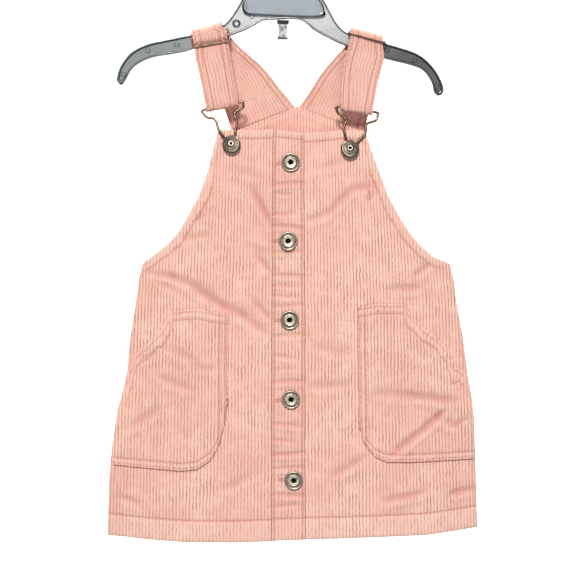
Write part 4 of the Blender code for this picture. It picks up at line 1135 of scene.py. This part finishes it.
def make_button(node, cap, tilt):
    """A jeans button: rolled rim, knurled ring, a middle with a hole, on a neck."""
    low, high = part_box(node)
    x, z = (low[0] + high[0]) / 2.0, (low[2] + high[2]) / 2.0
    front, foot = low[1] + 0.35 * MM, high[1]
    rings = [(ring.radius * MM, front - ring.height * MM, ring.tarnish) for ring in cap.rings]
    rings.append((2.6 * MM, foot, 0.9))
    rings.append((0.0, foot, 0.9))
    bm = bmesh.new()
    line = [bm.verts.new((x + radius, y, z)) for radius, y, _ in rings]
    edges = [bm.edges.new(pair) for pair in zip(line, line[1:])]
    bmesh.ops.spin(bm, geom=line + edges, cent=(x, 0.0, z), axis=(0.0, 1.0, 0.0),
                   angle=2.0 * math.pi, steps=BUTTON_STEPS, use_merge=True)
    bmesh.ops.remove_doubles(bm, verts=bm.verts[:], dist=0.00002)
    for vertex in bm.verts:
        dx, dz = vertex.co.x - x, vertex.co.z - z
        radius = math.hypot(dx, dz)
        if cap.knurl_inside * MM < radius < cap.knurl_outside * MM and vertex.co.y < front + 1.0 * MM:
            vertex.co.y -= 0.22 * MM * math.cos(KNURLS * math.atan2(dz, dx))
    bmesh.ops.recalc_face_normals(bm, faces=bm.faces[:])
    data = mesh_of(bm, node + "_turned", sharp=50)
    paint_tarnish(data, x, z, rings, cap.hole)
    pivot = Matrix.Translation((x, front, z + tilt.pivot * MM))
    lean = Matrix.Rotation(math.radians(tilt.lean), 4, "X") @ Matrix.Rotation(math.radians(tilt.turn), 4, "Z")
    data.transform(pivot @ lean @ pivot.inverted())
    made = put(node + "_turned", data, NICKEL)
    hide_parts(node)
    return made


def paint_tarnish(data, x, z, rings, hole):
    """Tarnish for each point of a button, by its distance from the axis."""
    flat = coordinates(data)
    radius = np.hypot(flat[:, 0] - x, flat[:, 2] - z)
    widest = max(range(len(rings)), key=lambda index: rings[index][0])
    cap = rings[:widest + 1]
    back = cap[-1][1] - 0.1 * MM
    value = np.interp(radius, [ring[0] for ring in cap], [ring[2] for ring in cap])
    value = np.where(flat[:, 1] > back, 0.85, value)
    value = np.where(radius < hole * MM, 1.0, value)
    mark_points(data, "tarnish", value)


def wire_curve(name, points, radius, finish, closed=True, more=()):
    """A round wire through points; more holds further routes of the same wire."""
    data = bpy.data.curves.new(name, "CURVE")
    data.dimensions = "3D"
    data.bevel_depth = radius
    data.bevel_resolution = 5
    data.use_fill_caps = not closed
    for route in (points, *more):
        spline = data.splines.new("POLY")
        spline.points.add(len(route) - 1)
        for point, place in zip(spline.points, route):
            point.co = (*place, 1.0)
        spline.use_cyclic_u = closed
        spline.use_smooth = True
    return put(name, data, finish)


def smooth_loop(points, corners=(), steps=5):
    """A Catmull-Rom curve round a closed route that keeps the straight runs named as corners."""
    places = [Vector(point) for point in points]
    count = len(places)
    route = []
    for index in range(count):
        before, start = places[index - 1], places[index]
        end, after = places[(index + 1) % count], places[(index + 2) % count]
        route.append(start)
        if index in corners:
            continue
        for step in range(1, steps):
            t = step / steps
            bend = (end - before) * t + (2 * before - 5 * start + 4 * end - after) * t ** 2
            bend += (3 * start - before - 3 * end + after) * t ** 3
            route.append(start + bend / 2)
    return route


def make_buckle(node, rows):
    """Bent wire: a bar in the strap's fold, ears, and a keyhole round the button's neck."""
    points = [(row.x * MM, row.y * MM, row.z * MM) for row in rows]
    made = wire_curve(node + "_wire", smooth_loop(points, corners=(0,)), WIRE_RADIUS, COPPER)
    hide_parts(node)


def make_slider(slider):
    """Three-bar adjuster of round wire."""
    middle = Vector(slider.middle) * MM
    lower = Vector(slider.lower) * MM
    along = Vector((1.0, 0.0, slider.across)).normalized()
    up = middle - lower
    up = (up - along * up.dot(along)).normalized()
    side = SLIDER_WIDTH / 2.0 - SLIDER_WIRE
    half = SLIDER_HEIGHT / 2.0 - SLIDER_WIRE
    corner = 1.6 * MM
    points = []
    for sx, sy, start in ((1, 1, 0), (-1, 1, 90), (-1, -1, 180), (1, -1, 270)):
        for step in range(6):
            angle = math.radians(start + 90 * step / 5)
            across = sx * (side - corner) + corner * math.cos(angle)
            rise = sy * (half - corner) + corner * math.sin(angle)
            points.append(middle + along * across + up * rise)
    made = wire_curve(slider.name + "_frame", points, SLIDER_WIRE, COPPER)
    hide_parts(slider.name)
    bar = [middle - along * side, middle, middle + along * side]
    centre = wire_curve(slider.name + "_bar", bar, SLIDER_WIRE, COPPER, closed=False)


def make_buttonholes():
    """The visible end of each buttonhole: two rows of close stitches and a bar tack."""
    thread = 0.5 * MM
    outward = np.array([0.0, -1.0, 0.0])
    rows = []
    for index in range(1, 6):
        low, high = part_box(f"placket_button_{index}")
        x0, z0 = (low[0] + high[0]) / 2.0, (low[2] + high[2]) / 2.0
        tilt = 0.06 * math.sin(index * 2.1)
        for step in range(15):
            x = x0 - 14.0 * MM + step * 0.55 * MM
            for side in (-1.0, 1.0):
                z = z0 + side * 1.1 * MM + tilt * (x - x0)
                out = -(float(ground(x, z, FRONT, LAP_LIFT)) + 0.75 * MM)
                rows.append((np.array([x, out, z]), np.array([0.08, 0.0, 1.0]), outward, 1.9 * MM, thread))
        for step in range(4):
            x = x0 - 14.6 * MM + step * 0.5 * MM
            z = z0 + tilt * (x - x0)
            out = -(float(ground(x, z, FRONT, LAP_LIFT)) + 0.95 * MM)
            rows.append((np.array([x, out, z]), np.array([0.0, 0.0, 1.0]), outward, 3.8 * MM, thread))
    return thread_work("buttonhole_stitches", rows, BUTTONHOLE_THREAD)


# ---- hanger -----------------------------------------------------------------------------------
def smooth_outline(rows, step):
    """Points an even step apart on a smooth closed line, counter-clockwise seen from the front."""
    route = np.array(smooth_loop([(row.x * MM, row.z * MM, 0.0) for row in rows], steps=8))[:, :2]
    closed = np.vstack([route, route[:1]])
    run = travelled(np.linalg.norm(np.diff(closed, axis=0), axis=1))
    places = np.linspace(0.0, run[-1], int(run[-1] / step), endpoint=False)
    even = np.stack([np.interp(places, run, closed[:, axis]) for axis in range(2)], axis=1)
    area = np.sum(even[:, 0] * np.roll(even[:, 1], -1) - np.roll(even[:, 0], -1) * even[:, 1])
    return even if area > 0 else even[::-1]


def set_in(outline, inset):
    """The outline moved inward; tight places are eased so that it doesn't cross itself."""
    moved = outline.copy()
    parts = max(1, int(math.ceil(inset / (0.3 * MM))))
    for _ in range(parts):
        along = np.roll(moved, -1, axis=0) - np.roll(moved, 1, axis=0)
        along /= np.linalg.norm(along, axis=1)[:, None]
        moved = moved + np.stack([-along[:, 1], along[:, 0]], axis=1) * (inset / parts)
        moved = moved * 0.5 + (np.roll(moved, -1, axis=0) + np.roll(moved, 1, axis=0)) * 0.25
    return moved


# the third value darkens a ring: thickness of the plastic, painted edge shade on rims, lighter lands as
# painted highlights
Moulding = namedtuple("Moulding", "inset y thick")


def moulded(name, outline, rings, finish):
    """A solid whose edge is swept through rings set in from its outline, and capped."""
    columns = [outline if ring.inset == 0.0 else set_in(outline, ring.inset) for ring in rings]
    columns = [np.stack([line[:, 0], np.full(len(line), ring.y), line[:, 1]], axis=1)
               for line, ring in zip(columns, rings)]
    points = np.stack(columns, axis=1)
    bm = shaped_grid(np.concatenate([points, points[:1]]), [ring.thick for ring in rings])
    bmesh.ops.remove_doubles(bm, verts=bm.verts[:], dist=0.000005)
    for y in (rings[0].y, rings[-1].y):
        rim = [edge for edge in bm.edges
               if edge.is_boundary and all(abs(vertex.co.y - y) < 0.00001 for vertex in edge.verts)]
        cap = bmesh.ops.contextual_create(bm, geom=rim)["faces"]
        bmesh.ops.triangulate(bm, faces=cap)
    bmesh.ops.recalc_face_normals(bm, faces=bm.faces[:])
    made = put(name, mesh_of(bm, name, sharp=38), finish)
    return made


def circle(middle, radius, steps):
    """Points round a circle that faces the front."""
    turns = [2.0 * math.pi * step / steps for step in range(steps)]
    return [(middle[0] + radius * math.cos(turn), middle[1], middle[2] + radius * math.sin(turn))
            for turn in turns]


def make_hanger():
    """Body with rounded rims round a thin web, blank plate, bumps and a small ring."""
    half = HANGER_HALF
    # last value of each ring: dark rims for thickness and painted edge shade, a lighter top land as a painted
    # highlight
    web = half - 2.2 * MM
    front = [
        Moulding(2.9 * MM, web, 0.0), Moulding(2.1 * MM, web, 0.3), Moulding(1.9 * MM, web + 1.7 * MM, 1.0),
        Moulding(1.6 * MM, half - 0.15 * MM, 0.9), Moulding(1.3 * MM, half, 0.25),
        Moulding(0.8 * MM, half - 0.05 * MM, 0.3), Moulding(0.45 * MM, half - 0.3 * MM, 1.0),
        Moulding(0.1 * MM, half - 0.9 * MM, 1.0), Moulding(0.0, half - 1.6 * MM, 1.0),
    ]
    rings = [ring._replace(y=-ring.y) for ring in front] + front[::-1]
    body = moulded("hanger_moulding", smooth_outline(HANGER_OUTLINE, 2.4 * MM), rings, SMOKE)
    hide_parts("hanger_body")

    bm = bmesh.new()
    for spot in HANGER_BUMPS:
        for face_side in (-1.0, 1.0):
            place = Matrix.Translation((spot.x * MM, face_side * (web + 0.25 * MM), spot.z * MM))
            bmesh.ops.create_cone(bm, cap_ends=True, segments=24, radius1=1.9 * MM, radius2=1.9 * MM,
                                  depth=0.9 * MM, matrix=place @ Matrix.Rotation(math.radians(90), 4, "X"))
    bumps = put("hanger_bumps", mesh_of(bm, "hanger_bumps"), SMOKE)
    rounding = bumps.modifiers.new("rounding", "BEVEL")
    rounding.width = 0.3 * MM
    rounding.segments = 2
    # a dark ring of painted edge shade round the base of each bump
    edge_shade_rings = [circle((spot.x * MM, side * (web + 0.1 * MM), spot.z * MM), 2.1 * MM, 20)
            for spot in HANGER_BUMPS for side in (-1.0, 1.0)]
    wire_curve("hanger_bump_edge_shade", edge_shade_rings[0], 0.4 * MM, SMOKE_THICK_AND_EDGE_SHADE, more=edge_shade_rings[1:])
    # the small ring is nearly black: its thickness and painted edge shade
    ring = circle((HANGER_RING.x * MM, -(web + 0.3 * MM), HANGER_RING.z * MM), 3.0 * MM, 32)
    wire_curve("hanger_ring", ring, 1.1 * MM, SMOKE_THICK_AND_EDGE_SHADE)

    low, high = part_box("hanger_plate")
    # the plate's rims are painted dark: thickness and painted edge shade
    rings = [
        Moulding(2.6 * MM, low[1] + 0.3 * MM, 0.0), Moulding(2.3 * MM, low[1], 0.0),
        Moulding(1.3 * MM, low[1], 0.1), Moulding(0.9 * MM, low[1], 1.0),
        Moulding(0.3 * MM, low[1] + 0.2 * MM, 1.0),
        Moulding(0.0, low[1] + 0.7 * MM, 1.0), Moulding(0.0, high[1], 1.0),
    ]
    plate = moulded("hanger_plate_face", smooth_outline(PLATE_OUTLINE, 2.4 * MM), rings, SMOKE_PLATE)
    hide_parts("hanger_plate")
    for node, finish in (("hanger_clip", CLIP_PLASTIC), ("hanger_hook", ZINC)):
        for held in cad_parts[node].material_slots:
            held.material = finish


# ---- floor, light and camera ------------------------------------------------------------------
def make_stage():
    """A white sweep of paper: floor, curve and wall in one."""
    bm = bmesh.new()
    floor_z = -2.0
    wall_y = 2.2
    wall_top = 2.6
    bend = 0.5
    width = 6.0
    profile = [(0.2, floor_z)]
    for step in range(13):
        angle = math.radians(90 * step / 12)
        profile.append((wall_y - bend + bend * math.sin(angle), floor_z + bend - bend * math.cos(angle)))
    profile.append((wall_y, wall_top))
    line = [bm.verts.new((-width / 2.0, y, z)) for y, z in profile]
    edges = [bm.edges.new(pair) for pair in zip(line, line[1:])]
    grown = bmesh.ops.extrude_edge_only(bm, edges=edges)
    moved = [item for item in grown["geom"] if isinstance(item, bmesh.types.BMVert)]
    bmesh.ops.translate(bm, verts=moved, vec=(width, 0.0, 0.0))
    bmesh.ops.recalc_face_normals(bm, faces=bm.faces[:])
    data = mesh_of(bm, "paper_sweep")
    data.shade_smooth()
    data.materials.append(PAPER)
    link("paper_sweep", data)


def soft_box(name, place, target, size, power, colour):
    """A large soft light aimed at a point."""
    lamp = bpy.data.lights.new(name, "AREA")
    lamp.shape = "RECTANGLE"
    lamp.size, lamp.size_y = size
    lamp.energy = power
    lamp.color = linear(colour)[:3]
    made = link(name, lamp)
    made.location = place
    made.rotation_euler = (Vector(target) - Vector(place)).to_track_quat("-Z", "Y").to_euler()


CAMERA_DISTANCE = 1.328
CAMERA_X = 6.8 * MM
CAMERA_Z = -366.7 * MM
GARMENT_Y = -8.0 * MM


def make_light_and_camera():
    """A far key light from above, a broad white panel behind the camera and a level camera."""
    middle = (CAMERA_X, 0.0, CAMERA_Z)
    soft_box("key", (-0.35, -4.5, 1.9), middle, (0.8, 0.8), 240.0, "#FFF9F2")
    soft_box("panel", (0.2, -2.2, -0.95), middle, (1.4, 1.2), 15.5, "#F8FAFF")
    soft_box("paper_light", (0.0, 0.5, 2.2), (0.0, 2.2, -0.6), (3.6, 0.8), 230.0, "#FFFFFF")
    world = bpy.data.worlds.new("studio")
    world.use_nodes = True
    world.node_tree.nodes["Background"].inputs["Color"].default_value = linear("#FFFFFF")
    world.node_tree.nodes["Background"].inputs["Strength"].default_value = 0.07
    bpy.context.scene.world = world
    lens = bpy.data.cameras.new("camera")
    lens.lens = 85.0
    lens.sensor_width = 36.0
    camera = link("camera", lens)
    camera.location = (CAMERA_X, GARMENT_Y - CAMERA_DISTANCE, CAMERA_Z)
    camera.rotation_euler = (math.radians(90), 0.0, 0.0)
    bpy.context.scene.camera = camera
    bpy.context.scene.view_settings.view_transform = "Standard"


# ---- putting it together ----------------------------------------------------------------------
Cut = namedtuple("Cut", "width length area")

pieces = make_panels()
for strap in (RIGHT_STRAP, LEFT_STRAP):
    pieces[strap.name] = make_strap(strap)
    make_strap_stitches(strap)
for node, piece in pieces.items():
    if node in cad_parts:
        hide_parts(node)
stitch_edges()
stitch_placket()
stitch_pockets()
make_buttonholes()
for index in range(1, 6):
    make_button(f"placket_button_{index}", PLACKET_CAP, Tilt(0.0, 0.0, 0.0))
make_button("bib_button_right", BIB_CAP, Tilt(-10.0, -7.0, 6.0))
make_button("bib_button_left", BIB_CAP, Tilt(-11.0, 3.0, 6.0))
make_buckle("buckle_right", RIGHT_BUCKLE)
make_buckle("buckle_left", LEFT_BUCKLE)
make_slider(RIGHT_SLIDER)
make_slider(LEFT_SLIDER)
make_hanger()
make_stage()
make_light_and_camera()
